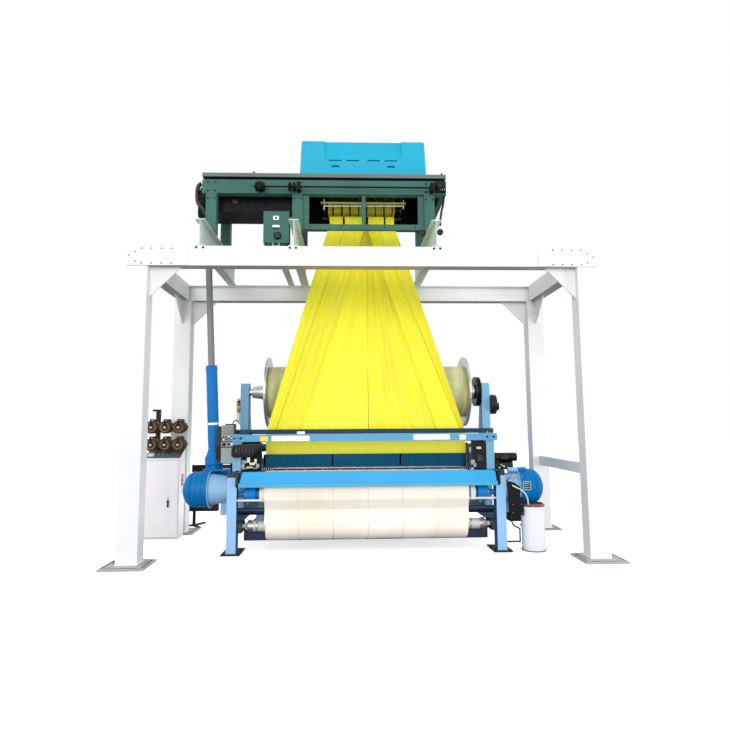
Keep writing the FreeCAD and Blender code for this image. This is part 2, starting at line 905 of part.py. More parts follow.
def make_control_box():
    x0 = control_right - control_width
    z1 = control_bottom + control_height
    dial_x = control_right - dial_left
    dial_z = control_bottom + dial_height
    body = box(x0, control_right, head_front, head_front + control_depth, control_bottom, z1)
    arm = box(control_right, cross_x[1] - head_leg_width / 2, head_front + 20,
              head_front + control_depth - 60, control_bottom + control_height * 0.65,
              control_bottom + control_height * 0.85)
    half = bezel_size / 2
    bezel = box(dial_x - half, dial_x + half, head_front - bezel_thick, head_front,
                dial_z - half, dial_z + half)
    save("control_box", body.fuse(arm).fuse(bezel).removeSplitter())
    y1 = head_front - bezel_thick - seat_gap
    dial = rod_y(dial_x, y1 - dial_thick, y1, dial_z, dial_r)
    dial = dial.cut(box(dial_x - dial_r, dial_x - dial_r * 0.25, y1 - dial_thick,
                        y1 - dial_thick / 2, dial_z - dial_r, dial_z + dial_r))
    dial = dial.cut(box(dial_x + dial_r * 0.25, dial_x + dial_r, y1 - dial_thick,
                        y1 - dial_thick / 2, dial_z - dial_r, dial_z + dial_r))
    save("control_dial", dial)


# ---------------------------------------------------------------- harness
def ribbed_ring(x_mid, width, y_mid, thick, z):
    """Closed outline with cord ribs on its front and back, at one height."""
    x0 = x_mid - width / 2
    step = width / rib_count
    depth = rib_depth * width / harness_width
    front, back = [], []
    for i in range(rib_count):
        left = x0 + i * step
        front += [V(left, y_mid - thick / 2 + depth, z), V(left + step / 2, y_mid - thick / 2, z)]
        back += [V(left, y_mid + thick / 2 - depth, z), V(left + step / 2, y_mid + thick / 2, z)]
    front.append(V(x0 + width, y_mid - thick / 2 + depth, z))
    back.append(V(x0 + width, y_mid + thick / 2 - depth, z))
    return front + back[::-1]


def ribbed_block(rings):
    """Closed solid of flat faces through outlines that lie one above the other."""
    faces = [face_of(rings[0]), face_of(rings[-1])]
    for low, high in zip(rings, rings[1:]):
        for i in range(len(low)):
            faces.append(face_of([low[i - 1], low[i], high[i], high[i - 1]]))
    solid = Part.Solid(Part.Shell(faces))
    if solid.Volume < 0:
        solid.reverse()
    return solid


def make_harness():
    save("harness_cords", ribbed_block([
        ribbed_ring(harness_x, harness_width, harness_y, harness_thick, fan_bottom),
        ribbed_ring(neck_x, neck_width, harness_y, neck_thick, fan_top),
        ribbed_ring(neck_x, neck_width - neck_taper, harness_y, neck_thick, neck_top)]))
    board_bottom = fan_bottom - board_thick
    half = harness_width / 2
    board = box(harness_x - half - board_margin, harness_x + half + board_margin,
                harness_y - harness_thick / 2 - board_margin,
                harness_y + harness_thick / 2 + board_margin, board_bottom, fan_bottom)
    solids = [board]
    for side in (-1, 1):
        edge = harness_x + side * (half + board_margin)
        outer = loom_left if side < 0 else loom_right
        inner = side_inner_left if side < 0 else side_inner_right
        arm = sorted((edge, outer))
        post = sorted((inner, outer))
        solids.append(box(arm[0], arm[1], harness_y - board_post, harness_y + board_post,
                          board_bottom, fan_bottom))
        solids.append(box(post[0], post[1], harness_y - board_post, harness_y + board_post,
                          side_top, board_bottom))
    save("comber_board", *solids)
    curtain = ribbed_block([ribbed_ring(harness_x, harness_width, harness_y, harness_thick, z)
                            for z in (curtain_bottom, board_bottom)])
    save("harness_curtain", curtain)


# ---------------------------------------------------------------- loom frame
def make_side(left):
    """Side frame: a plate with a low front end, four rounded windows and bearing bores."""
    x0 = loom_left if left else side_inner_right
    x1 = x0 + side_thick
    outline = [(leg_back, side_bottom), (leg_back, leg_top), (leg_back + side_step, leg_top),
               (leg_back + side_step + side_top - leg_top, side_top), (rear_leg_y, side_top),
               (rear_leg_y, side_bottom + side_step), (rear_leg_y - side_step, side_bottom)]
    plate = prism_x(outline, x0, x1)
    for i in range(2):
        y = window_first + i * window_pitch
        window = rounded_x(box(x0, x1, y, y + window_width, window_bottom,
                               window_bottom + window_height), window_round)
        plate = plate.cut(window)
    plate = plate.cut(rod_x(x0 - 1, x1 + 1, sley_pivot_y, sley_pivot_z,
                            sley_shaft_r + bearing_gap))
    plate = plate.cut(rod_x(x0 - 1, x1 + 1, ground_y, ground_z,
                            beam_journal_r + bearing_gap))
    return plate


def make_legs():
    legs = []
    for x0, inner in ((loom_left, leg_inner_left), (leg_inner_right, leg_inner_right)):
        leg = box(x0, x0 + leg_width, leg_front, leg_back, foot_thick, leg_top)
        bore0 = inner - journal_depth - 2 if x0 == loom_left else inner
        leg = leg.cut(rod_x(bore0, bore0 + journal_depth + 2, takeup_y, takeup_z,
                            journal_r + bearing_gap))
        legs.append(leg)
        legs.append(box(x0, x0 + leg_width, rear_leg_y, rear_leg_back, foot_thick, side_top))
    save("loom_legs", *legs)
    feet = []
    for x0 in (loom_left - foot_side, leg_inner_right - foot_side):
        x1 = x0 + leg_width + 2 * foot_side
        feet.append(box(x0, x1, leg_front - foot_front, leg_front - foot_front + foot_length,
                        0, foot_thick))
        back = rear_leg_back + rear_foot_reach
        feet.append(box(x0, x1, back - foot_length, back, 0, foot_thick))
    save("foot_plates", *feet)


def make_cross_members():
    """Everything fixed that ties the two sides together."""
    solids = []
    breast = box(leg_inner_left, leg_inner_right, breast_front, breast_back,
                 breast_bottom, breast_top)
    for x0 in (loom_left, leg_inner_right):
        breast = breast.fuse(box(x0, x0 + leg_width, breast_front, breast_back,
                                 leg_top, breast_top))
    solids.append(breast.removeSplitter())
    solids.append(box(leg_inner_left + 30, leg_inner_right - 30, stretcher_y - stretcher_depth / 2,
                      stretcher_y + stretcher_depth / 2, stretcher_bottom,
                      stretcher_bottom + stretcher_height))
    for x in (side_inner_left, side_inner_right - 75):
        solids.append(box(x, x + 75, stretcher_y - stretcher_depth / 2,
                          stretcher_y + stretcher_depth / 2,
                          stretcher_bottom + stretcher_height, side_bottom + 60))
    solids.append(box(leg_inner_left, leg_inner_right, rear_leg_y + 20, rear_leg_back - 30,
                      side_bottom - 160, side_bottom - 60))
    # rail that holds the return springs of the harness
    rail0 = harness_y - harness_thick / 2 - 10
    rail1 = harness_y + harness_thick / 2 + 10
    solids.append(box(side_inner_left, side_inner_right, rail0, rail1,
                      curtain_bottom - spring_rail_height, curtain_bottom))
    # back rest with its two arms on the side frames
    for y, z, r in ((backrest_y, backrest_z, backrest_r),
                    (tension_bar_y, tension_bar_z, tension_bar_r)):
        solids.append(bar_x(side_inner_left, side_inner_right, y, z, r))
    for x0 in (loom_left, side_inner_right):
        solids.append(prism_x([(backrest_y - arm_foot, side_top), (backrest_y + arm_foot, side_top),
                               (backrest_y + arm_head, backrest_z + backrest_r),
                               (backrest_y - arm_head, backrest_z + backrest_r)],
                              x0, x0 + side_thick))
        solids.append(box(x0, x0 + side_thick, tension_bar_y - arm_half, tension_bar_y + arm_half,
                          side_top, tension_bar_z + arm_half))
    # rods that lead the cloth from the take-up roller to the cloth roll
    solids.append(bar_x(leg_inner_left, leg_inner_right, guide_rod_y, guide_rod_z, guide_rod_r))
    solids.append(bar_x(leg_inner_left, leg_inner_right, press_y, press_z, press_r))
    for x0 in (leg_inner_left, leg_inner_right - roll_bracket):
        bracket = box(x0, x0 + roll_bracket, leg_front + 50, roll_y + 50,
                      roll_z - 60, roll_z + 60)
        bracket = rounded_x(bracket, 20)
        solids.append(bracket.cut(rod_x(x0 - 1, x0 + roll_bracket + 1, roll_y, roll_z,
                                        roll_journal_r + bearing_gap)))
    temple = bar_x(temple_left, temple_left + temple_length, temple_y, temple_z, temple_r)
    for x in (temple_left, temple_left + temple_length - 30):
        temple = temple.fuse(box(x, x + 30, temple_y - 15, temple_y + 15, breast_top,
                                 temple_z + temple_r + 5))
    save("cross_members", temple, *solids)


def make_cover():
    """Folded cover over the breast beam, with two brackets beyond the cloth."""
    x0, x1 = cover_left, cover_left + cover_length
    top0, top1 = x0 + cover_slope_left, x1 - cover_slope_right
    outline = [(x0, cover_bottom), (x1, cover_bottom), (top1, cover_top), (top0, cover_top)]
    block = prism_y(outline, cover_front, cover_back)
    corner = [e for e in block.Edges
              if min(v.X for v in e.Vertexes) > top1 - 1 and min(v.Z for v in e.Vertexes) > cover_top - 1]
    block = block.makeFillet(cover_round, corner)
    front_edges = [e for e in block.Edges if max(v.Y for v in e.Vertexes) < cover_front + 0.01
                   and min(v.Z for v in e.Vertexes) > cover_top - 1]
    block = block.makeFillet(cover_wall * 2, front_edges)
    hollow = prism_y([(x0 + cover_wall, cover_bottom + cover_wall),
                      (x1 - cover_wall, cover_bottom + cover_wall),
                      (top1 - cover_round, cover_top - cover_wall),
                      (top0 + cover_wall, cover_top - cover_wall)],
                     cover_front + cover_wall, cover_back)
    cover = block.cut(hollow)
    low, high = breast_bottom + bracket_margin, cover_top - cover_wall - bracket_margin
    for x in (top0, top1 - bracket_inset - bracket_width):
        cover = cover.fuse(box(x, x + bracket_width, cover_front + cover_wall / 2, breast_front,
                               low, high))
    save("breast_cover", cover)


def make_rails():
    x0 = front_rail_left
    rail = box(x0, x0 + front_rail_length, front_rail_y, front_rail_y + front_rail_thick,
               front_rail_bottom, front_rail_bottom + front_rail_height)
    for i in range(2):
        rail = rail.cut(rod_y(x0 + 51 + i * 58, front_rail_y - 1,
                              front_rail_y + front_rail_thick + 1,
                              front_rail_bottom + front_rail_height / 2, 9))
    save("front_rail", rail)
    post_front = front_rail_y + front_rail_thick
    x0 = upper_rail_left
    upper = box(x0, x0 + upper_rail_length, post_front, post_front + upper_rail_thick,
                upper_rail_bottom, upper_rail_bottom + upper_rail_height)
    lip = box(x0, x0 + upper_rail_length, post_front, post_front + upper_rail_thick * 2,
              upper_rail_bottom + upper_rail_height - 6, upper_rail_bottom + upper_rail_height)
    save("upper_rail", upper.fuse(lip).removeSplitter())


def make_uprights():
    """Posts of the front rails, and the rear uprights that hold the upper warp beam."""
    solids = []
    post_front = front_rail_y + front_rail_thick
    for x0 in (rail_post_left, rail_post_right):
        solids.append(box(x0, x0 + rail_post_width, post_front, post_front + rail_post_depth,
                          breast_top, upper_rail_bottom))
    for left in (True, False):
        x0 = loom_left - upright_width if left else loom_right + right_upright_gap
        x1 = x0 + upright_width
        y0 = pile_y - upright_depth / 2
        y1 = pile_y + upright_depth / 2
        post = prism_x([(y0, side_bottom + 40), (y1 + upright_wedge, side_bottom + 40),
                        (y1 + upright_wedge, side_top - 100), (y1, upright_top - 300),
                        (y1, upright_top - 30), (y1 - 30, upright_top),
                        (y0 + 30, upright_top), (y0, upright_top - 30)], x0, x1)
        post = post.cut(rod_x(x0 - 1, x1 + 1, pile_y, pile_z, beam_journal_r + bearing_gap))
        if not left:
            post = post.fuse(box(loom_right, x0, y0, y1, side_bottom + 60, side_top - 60))
        solids.append(post)
    save("loom_uprights", *solids)


# ---------------------------------------------------------------- sley and reed
def make_sley():
    shaft = rod_x(loom_left + 5, loom_right - 5, sley_pivot_y, sley_pivot_z, sley_shaft_r)
    beam_top_z = sley_beam_bottom + sley_beam_height
    half = sley_beam_depth / 2
    sley = shaft.fuse(box(sley_left, sley_right, sley_beam_y - half, sley_beam_y + half,
                          sley_beam_bottom, beam_top_z))
    pitch = sley_width / sword_count
    for i in range(sword_count):
        x = sley_left + (i + 0.5) * pitch
        sword = prism_x([(sley_pivot_y - sword_depth / 2, sley_pivot_z),
                         (sley_pivot_y + sword_depth / 2, sley_pivot_z),
                         (sley_beam_y + half, sley_beam_bottom),
                         (sley_beam_y - half, sley_beam_bottom)],
                        x - sword_width / 2, x + sword_width / 2)
        sley = sley.fuse(sword)
    save("sley", sley.removeSplitter())
    # reed: two caps and a row of dents between them
    z0, z1 = beam_top_z, reed_top
    y0, y1 = sley_beam_y - reed_thick / 2, sley_beam_y + reed_thick / 2
    reed = box(sley_left, sley_right, y0, y1, z0, z1)
    step = (sley_width - 2 * reed_cap) / reed_gaps
    gap = step * (1 - reed_bars)
    gaps = [box(sley_left + reed_cap + i * step + (step - gap) / 2,
                sley_left + reed_cap + i * step + (step + gap) / 2, y0, y1,
                z0 + reed_cap, z1 - reed_cap) for i in range(reed_gaps)]
    save("reed", reed.cut(Part.makeCompound(gaps)))


# ---------------------------------------------------------------- rollers and cloth
def make_takeup():
    left = cloth_left - takeup_overhang
    right = cloth_right + takeup_overhang
    left_end = left - takeup_ring
    right_end = right + takeup_ring
    ring_r = takeup_end_r + 8
    profile = [(leg_inner_left - journal_depth, 0), (leg_inner_left - journal_depth, journal_r),
               (left_end - takeup_end, journal_r), (left_end - takeup_end, takeup_end_r),
               (left_end, takeup_end_r), (left_end, ring_r), (left, ring_r), (left, takeup_r),
               (right, takeup_r), (right, ring_r), (right_end, ring_r), (right_end, takeup_end_r),
               (right_end + takeup_end, takeup_end_r), (right_end + takeup_end, journal_r),
               (leg_inner_right + journal_depth, journal_r), (leg_inner_right + journal_depth, 0)]
    save("takeup_roller", faceted_x(profile, roller_sides, takeup_y, takeup_z))


def make_cloth_roll():
    x0 = roll_shaft_left
    x1 = roll_shaft_left + roll_shaft_length
    c0 = cloth_x - roll_width / 2
    c1 = cloth_x + roll_width / 2
    end0 = leg_inner_left + 4
    end1 = leg_inner_right - 4
    profile = [(end0, 0), (end0, roll_journal_r), (x0 - roll_cone, roll_journal_r),
               (x0, roll_shaft_r), (x1, roll_shaft_r), (x1 + roll_cone, roll_journal_r),
               (end1, roll_journal_r), (end1, 0)]
    save("cloth_roll_shaft", faceted_x(profile, roller_sides, roll_y, roll_z))
    cloth = rod_x(c0, c1, roll_y, roll_z, roll_r)
    save("cloth_roll", cloth.cut(rod_x(c0, c1, roll_y, roll_z, roll_shaft_r)))


def tangent_point(y, z, cy, cz, r, turn):
    """Point where a line from (y, z) touches a circle; turn picks the side."""
    away = math.hypot(y - cy, z - cz)
    angle = math.atan2(z - cz, y - cy) + turn * math.acos(r / away)
    return cy + r * math.cos(angle), cz + r * math.sin(angle)


def make_cloth():
    middle = cloth_front + cloth_thick / 2
    top = breast_top + cloth_thick / 2
    press_front = press_y - press_r - pass_gap - cloth_thick / 2
    last = tangent_point(press_front, press_z, roll_y, roll_z, roll_r + pass_gap + cloth_thick / 2, 1)
    path = [(fell_y, top), (middle + cloth_bend, top), (middle, top - cloth_bend), (middle, guide_rod_z),
            (press_front, press_z), last]
    save("cloth_sheet", prism_x(strip(path, cloth_thick), cloth_left, cloth_right))


# ---------------------------------------------------------------- warp beams
def make_warp_beams():
    x0 = pile_left
    x1 = pile_left + pile_width
    upright_left = loom_left - upright_width
    upright_right = loom_right + right_upright_gap + upright_width
    profile = [(upright_left, 0), (upright_left, beam_journal_r),
               (x0 - flange_rim - hub_length, beam_journal_r),
               (x0 - flange_rim - hub_length, hub_small_r), (x0 - flange_rim, hub_r),
               (x0 - flange_rim, pile_flange_r), (x0, pile_flange_r),
               (x0 + 10, pile_flange_r - 26), (x0 + 4, pile_yarn_r * 0.5),
               (x1 - 4, pile_yarn_r * 0.5), (x1 - 10, pile_flange_r - 26), (x1, pile_flange_r),
               (x1 + flange_rim, pile_flange_r), (x1 + flange_rim, pile_shaft_r),
               (disc_left, pile_shaft_r), (disc_left, disc_r), (disc_left + disc_thick, disc_r),
               (disc_left + disc_thick, beam_journal_r), (upright_right, beam_journal_r),
               (upright_right, 0)]
    save("pile_beam", faceted_x(profile, beam_sides, pile_y, pile_z))
    yarn = [(x0 + 12, pile_yarn_r * 0.5), (x0 + 12, pile_yarn_r), (x1 - 12, pile_yarn_r),
            (x1 - 12, pile_yarn_r * 0.5)]
    save("pile_yarn", faceted_x(yarn, beam_sides, pile_y, pile_z))
    g0 = ground_left
    g1 = ground_left + ground_width
    profile = [(loom_left + 4, 0), (loom_left + 4, beam_journal_r), (g0 - flange_rim, beam_journal_r),
               (g0 - flange_rim, ground_flange_r), (g0, ground_flange_r),
               (g0 + 10, ground_flange_r - 20), (g0 + 10, ground_yarn_r),
               (g1 - 10, ground_yarn_r), (g1 - 10, ground_flange_r - 20), (g1, ground_flange_r),
               (g1 + flange_rim, ground_flange_r), (g1 + flange_rim, beam_journal_r),
               (loom_right - 4, beam_journal_r), (loom_right - 4, 0)]
    save("ground_beam", faceted_x(profile, beam_sides, ground_y, ground_z))


def make_warps():
    """The pile warp from the upper beam and the ground warp from the lower one."""
    gap = pass_gap + sheet_thick / 2
    heddle_y = harness_y + harness_thick / 2
    bar = tension_bar_r + gap
    start = tangent_point(tension_bar_y - bar, tension_bar_z, pile_y, pile_z, pile_yarn_r + gap, -1)
    pile_height = heddle_z + sheet_split
    pile = [start, (tension_bar_y - bar, tension_bar_z), (heddle_y + 60, pile_height),
            (heddle_y, pile_height)]
    solids = [prism_x(strip(pile, sheet_thick), cloth_left, cloth_right)]
    rest = (backrest_r + gap) / math.cos(math.radians(15))
    bend = [(backrest_y + rest * math.cos(math.radians(a)),
             backrest_z + rest * math.sin(math.radians(a))) for a in (0, 30, 60, 90)]
    low = tangent_point(bend[0][0], bend[0][1], ground_y, ground_z, ground_yarn_r + gap, -1)
    ground = [low] + bend + [(heddle_y + 60, heddle_z), (heddle_y, heddle_z)]
    solids.append(prism_x(strip(ground, sheet_thick), cloth_left, cloth_right))
    save("warp_sheets", *solids)


# ---------------------------------------------------------------- drives
def make_housing(name, left):
    """Round drive housing: a domed drum, a bolted rim and a cone that meets the side frame."""
    cone = cone_length_left if left else cone_length_right
    base = loom_left if left else loom_right
    out = -1 if left else 1
    rim = base + out * cone
    dome = cone + housing_length - housing_dome
    profile = [(0, 0), (cone_end_r, 0), (cone_r, cone), (rim_r, cone), (rim_r, cone + rim_width),
               (housing_r, cone + rim_width), (housing_r, dome)]
    for share in (0.35, 0.65, 0.87, 1.0):
        bow = math.sqrt(1 - share * share * (1 - dome_flat * dome_flat))
        profile.append((housing_r * bow, dome + housing_dome * share))
    profile.append((0, dome + housing_dome))
    housing = faceted([(r, out * h) for r, h in profile], housing_sides,
                      base, housing_y, housing_z, "x")
    foot0, foot1 = sorted((base, base + out * cone * 0.45))
    rib = box(foot0, foot1, housing_y - 20, housing_y + 90, housing_z - cone_r - 110, housing_z)
    housing = housing.fuse(rib)
    if not left:
        drum = rim + rim_width
        housing = housing.cut(box(drum + 8, drum + 8 + hatch_width,
                                  housing_y - housing_r - 1, housing_y - housing_r + hatch_depth,
                                  housing_z - 15, housing_z - 15 + hatch_height))
        housing = housing.fuse(bar_x(rim - 110, drum + 80, housing_y - 70,
                                     housing_z + housing_r - 3, guide_tube_r))
    save(name, housing)


def lean(shape):
    """Tip a piece made along Z into the line of the jacquard drive."""
    shape.rotate(V(0, 0, 0), V(0, 1, 0), -math.degrees(math.atan(tube_lean)))
    shape.translate(V(tube_foot_x, tube_y, tube_foot_z))
    return shape


def make_jacquard_drive():
    mid = bulge_height
    neck = bulge_r * 0.72
    reach = math.sqrt(bulge_r ** 2 - neck ** 2)
    ring = cardan_r + bearing_gap
    profile = [(0, 0), (tube_flange_r, 0), (tube_flange_r, tube_flange), (neck, tube_flange)]
    for share in (-1.0, -0.5, 0.5, 1.0):
        height = share * reach
        profile.append((math.sqrt(bulge_r ** 2 - height ** 2), mid + height))
    profile += [(tube_r, mid + reach + tube_shoulder), (tube_r, tube_height), (0, tube_height)]
    tube = faceted(profile, tube_sides)
    tube = tube.cut(turned_z([(0, -1), (tube_bore, -1), (tube_bore, tube_height - tube_bearing),
                              (ring, tube_height - tube_bearing), (ring, tube_height + 1),
                              (0, tube_height + 1)]))
    # the foot is cut square to the gearbox that carries it
    tube.translate(V(0, 0, -6))
    tube = lean(tube)
    tube = tube.cut(box(tube_foot_x - 200, tube_foot_x + 200, tube_y - 200, tube_y + 200,
                        tube_foot_z - 60, tube_foot_z))
    top = gearbox_bottom - pass_gap - tube_foot_z
    length = top / math.cos(math.atan(tube_lean)) - collar_r * tube_lean
    start = tube_height - cardan_overlap
    collar = length - collar_height
    shaft = turned_z([(0, start), (cardan_r, start), (cardan_r, collar), (collar_r, collar),
                      (collar_r, length), (0, length)])
    save("cardan_shaft", lean(shaft))
    bevel_front = housing_y + rim_r + 8
    body = box(bevel_left, loom_left, bevel_front, bevel_front + bevel_depth,
               tube_foot_z - bevel_height, tube_foot_z - 20)
    body = rounded_x(body, 25)
    top_plate = box(bevel_left, loom_left, tube_y - bulge_r, tube_y + bulge_r,
                    tube_foot_z - 20, tube_foot_z)
    save("drive_cover_tube", tube, body.fuse(top_plate))


def make_side_units():
    """Selvedge units beside the reed, and the control terminal on the left."""
    solids = []
    unit_back = unit_front + unit_depth
    unit_top = unit_bottom + unit_height
    outline = [(unit_front + unit_toe, unit_bottom), (unit_back, unit_bottom), (unit_back, unit_top),
               (unit_front + unit_brow, unit_top), (unit_front, unit_top - unit_brow_height)]
    for x0, width in ((left_unit_left, left_unit_width), (right_unit_left, right_unit_width)):
        body = prism_x(outline, x0, x0 + width)
        notch = box(x0 + width * 0.35, x0 + width * 0.8, unit_front - 1, unit_front + notch_depth,
                    unit_bottom + notch_bottom, unit_bottom + unit_height * 0.45)
        solids.append(body.cut(notch))
    top = terminal_bottom + terminal_height
    head = box(terminal_left, terminal_left + terminal_width, terminal_front,
               terminal_front + terminal_depth, terminal_bottom, top)
    step = box(terminal_left, terminal_left + terminal_width * 0.3, terminal_front,
               terminal_front + terminal_depth, top - terminal_height * 0.35, top)
    neck = box(loom_left, side_inner_left, terminal_front, terminal_front + terminal_depth,
               leg_top, terminal_bottom)
    solids.append(head.cut(step).fuse(neck).removeSplitter())
    save("side_units", *solids)


def make_drive_motor():
    """Motors on the right: the drive motor, its starter box and the warp let-off motor."""
    fins = []
    fin_pitch = (motor_length - motor_band) / (fin_count + 1)
    for i in range(fin_count):
        x = motor_band + (i + 0.5) * fin_pitch
        fins += [(motor_core_r, x), (motor_r, x), (motor_r, x + fin_pitch * 0.4),
                 (motor_core_r, x + fin_pitch * 0.4)]
    profile = ([(0, 0), (motor_r, 0), (motor_r, motor_band), (motor_core_r, motor_band)]
               + fins + [(motor_core_r, motor_length), (0, motor_length)])
    motor = faceted(profile, motor_sides, motor_left, motor_y, motor_z, "x")
    stand = box(side_inner_right, loom_right, motor_y - 30, motor_y + 30,
                leg_top, motor_z)
    light = faceted([(0, 0), (motor_r, 0), (motor_r, light_length), (0, light_length)],
                    motor_sides, motor_left + 20, motor_y, motor_z - motor_drop, "x")
    solids = [motor.fuse(stand).fuse(light)]
    case = box(box_left, box_left + box_width, box_y - box_depth / 2, box_y + box_depth / 2,
               box_bottom, box_bottom + box_height)
    arm = box(loom_right, box_left, box_y - 30, box_y + 30, side_bottom + 30, window_bottom - 30)
    case = case.fuse(arm)
    pipe = [V(box_left + 29, box_y, box_bottom + 5), V(box_left + 62, box_y, box_bottom - 60),
            V(box_left + 132, box_y, box_bottom - 96), V(box_left + 132, box_y, pipe_r + 6),
            V(loom_right + foot_side - 10, box_y, pipe_r + 6)]
    solids.append(case.fuse(faceted_tube(pipe, pipe_r, 8)))
    outer = loom_right + right_upright_gap + upright_width
    cover = bar_x(outer, outer + letoff_thick, pile_y, letoff_z, letoff_r)
    cover = cover.cut(rod_x(outer - 1, outer + letoff_thick + 1, pile_y, pile_z,
                            beam_journal_r + 10))
    solids.append(cover.fuse(bar_x(outer + letoff_thick, outer + letoff_thick * 1.5, pile_y,
                                   letoff_z - 30, letoff_r * 0.4)))
    save("drive_motors", *solids)


def make_lamp():
    """Signal lamp of three segments on a bracket of the left rear upright."""
    z = lamp_bottom
    profile = [(0, 0), (lamp_r, 0), (lamp_r, 40), (lamp_r * 0.55, 44)]
    top = 60
    for i in range(3):
        profile += [(lamp_r * 0.55, top), (lamp_r, top + 4), (lamp_r, top + lamp_segment - 6),
                    (lamp_r * 0.8, top + lamp_segment)]
        top += lamp_segment
    profile += [(lamp_r * 0.8, top + 12), (0, top + 12)]
    lamp = faceted(profile, 16, lamp_x, pile_y, z)
    upright_face = loom_left - upright_width
    lamp = lamp.fuse(box(lamp_x, upright_face, pile_y - 12, pile_y + 12, z, z + 20))
    bar = box(lamp_x - 8, lamp_x + 8, pile_y - 6, pile_y + 6, z + top + 10, z + top + 56)
    cap = box(lamp_x - 30, lamp_x + 30, pile_y - 10, pile_y + 10, z + top + 56, z + top + 68)
    save("stack_lamp", lamp.fuse(bar).fuse(cap))


# ---------------------------------------------------------------- yarn stands and feeders
def make_yarn_stands():
    """Stand of the weft feeders, and the small supply stand behind the loom."""
    half = stand_width / 2
    post = box(stand_x - half, stand_x + half, stand_y - half, stand_y + half, 0, stand_top)
    left = stand_x - stand_toe
    post = post.fuse(box(left, stand_x + half, stand_y - half, stand_y + half,
                         stand_top - head_thick, stand_top))
    post = post.fuse(box(left, stand_x + half, stand_y - half, stand_y + stand_heel,
                         0, toe_thick))
    bar_front = feeder_bar_y - feeder_bar / 2
    bar_back = bar_front + feeder_bar
    half = arm_width / 2
    tip = bar_front - feeder_body - feeder_disc - feeder_drum - arm_reach
    for z in feeder_z:
        bar = box(feeder_x[0] - bar_end, feeder_x[-1] + bar_end, bar_front, bar_back,
                  z - feeder_bar / 2, z + feeder_bar / 2)
        post = post.fuse(bar)
        post = post.fuse(box(stand_x - half, stand_x + half, bar_back, stand_y - stand_width / 2,
                             z - half, z + half))
        low, high = z + feeder_disc_r + arm_clear, z + feeder_disc_r + arm_clear + arm_thick
        for x in feeder_x:
            body = faceted([(0, 0), (feeder_body_r, 0), (feeder_body_r, feeder_body),
                            (0, feeder_body)], feeder_sides, x, bar_front, z, "-y")
            arm = box(x - half, x + half, tip, bar_front - arm_width, low, high)
            eye = box(x - half, x + half, tip, tip + arm_thick, z + arm_thick, high)
            riser = box(x - half, x + half, bar_front - arm_width - arm_reach,
                        bar_front - arm_width, z, high)
            post = post.fuse(body).fuse(arm).fuse(eye).fuse(riser)
    half = rear_stand_width / 2
    rear = box(rear_stand_x - half, rear_stand_x + half, rear_stand_y - half,
               rear_stand_y + half, 0, rear_stand_top - rear_tray_height / 2)
    rear = rear.fuse(box(rear_stand_x - rear_box_left, rear_stand_x + rear_box_right,
                         rear_stand_y - rear_box_depth / 2, rear_stand_y + rear_box_depth / 2,
                         rear_box_bottom, rear_box_bottom + rear_box_height))
    rear = rear.fuse(box(rear_stand_x - rear_tray_left, rear_stand_x + rear_tray_right,
                         rear_stand_y - rear_tray_depth / 2, rear_stand_y + rear_tray_depth / 2,
                         rear_stand_top - rear_tray_height, rear_stand_top))
    for angle in (65, 185, 305):
        foot = box(0, rear_foot_length, -rear_foot_width / 2, rear_foot_width / 2,
                   0, rear_foot_height)
        foot.rotate(V(0, 0, 0), V(0, 0, 1), angle)
        foot.translate(V(rear_stand_x, rear_stand_y, 0))
        rear = rear.fuse(foot)
    save("yarn_stands", post, rear)


def make_feeder_discs():
    """Winding discs with their yarn drums; each one turns on its own feeder."""
    back = feeder_bar_y - feeder_bar / 2 - feeder_body - seat_gap
    number = 0
    for z in feeder_z:
        for x in feeder_x:
            number += 1
            profile = [(0, 0), (feeder_drum_r * 0.6, 0), (feeder_disc_r, feeder_disc * 0.4),
                       (feeder_disc_r, feeder_disc), (feeder_drum_r, feeder_disc + 4),
                       (feeder_drum_r * 0.94, feeder_disc + feeder_drum - 10),
                       (feeder_drum_r * 0.75, feeder_disc + feeder_drum),
                       (0, feeder_disc + feeder_drum)]
            save("feeder_disc_%d" % number, faceted(profile, feeder_sides, x, back, z, "-y"))


# ---------------------------------------------------------------- cabinet and bin
def make_cabinet():
    x0, x1 = cabinet_left, cabinet_left + cabinet_width
    y0 = cabinet_front + door_thick + seat_gap
    y1 = cabinet_front + cabinet_depth
    wall = cabinet_wall
    brow = cabinet_height - cabinet_edge
    roof = cabinet_height - cabinet_top
    body = prism_x([(y0, 0), (y1, 0), (y1, cabinet_back), (cabinet_front, cabinet_height),
                    (cabinet_front, brow), (y0, brow)], x0, x1)
    body = body.cut(prism_x([(y0 - 1, cabinet_plinth), (y1 - wall, cabinet_plinth),
                             (y1 - wall, cabinet_back - cabinet_top), (y0, roof), (y0 - 1, roof)],
                            x0 + wall, x1 - wall))
    for i in range(8):
        z = cabinet_height * 0.55 + i * 22
        body = body.cut(box(x1 - wall, x1, y0 + 60, y1 - 60, z, z + 6))
    save("cabinet_body", body)
    door_bottom = cabinet_plinth * 0.4
    door_top = brow - seat_gap
    door = box(x0, x1, cabinet_front, cabinet_front + door_thick, door_bottom, door_top)
    door = door.cut(box(x0 + wall, x1 - wall, cabinet_front + wall, cabinet_front + door_thick,
                        door_bottom + wall, door_top - wall))
    door = door.fuse(box(latch_x - 20, latch_x + 20, cabinet_front + wall,
                         cabinet_front + door_thick, latch_z - 60, latch_z + 60))
    save("cabinet_door", door)
    half = latch_width / 2
    y1 = cabinet_front - seat_gap
    latch = box(latch_x - half, latch_x + half, y1 - latch_thick, y1,
                latch_z - latch_height, latch_z + half)
    save("cabinet_latch", latch)


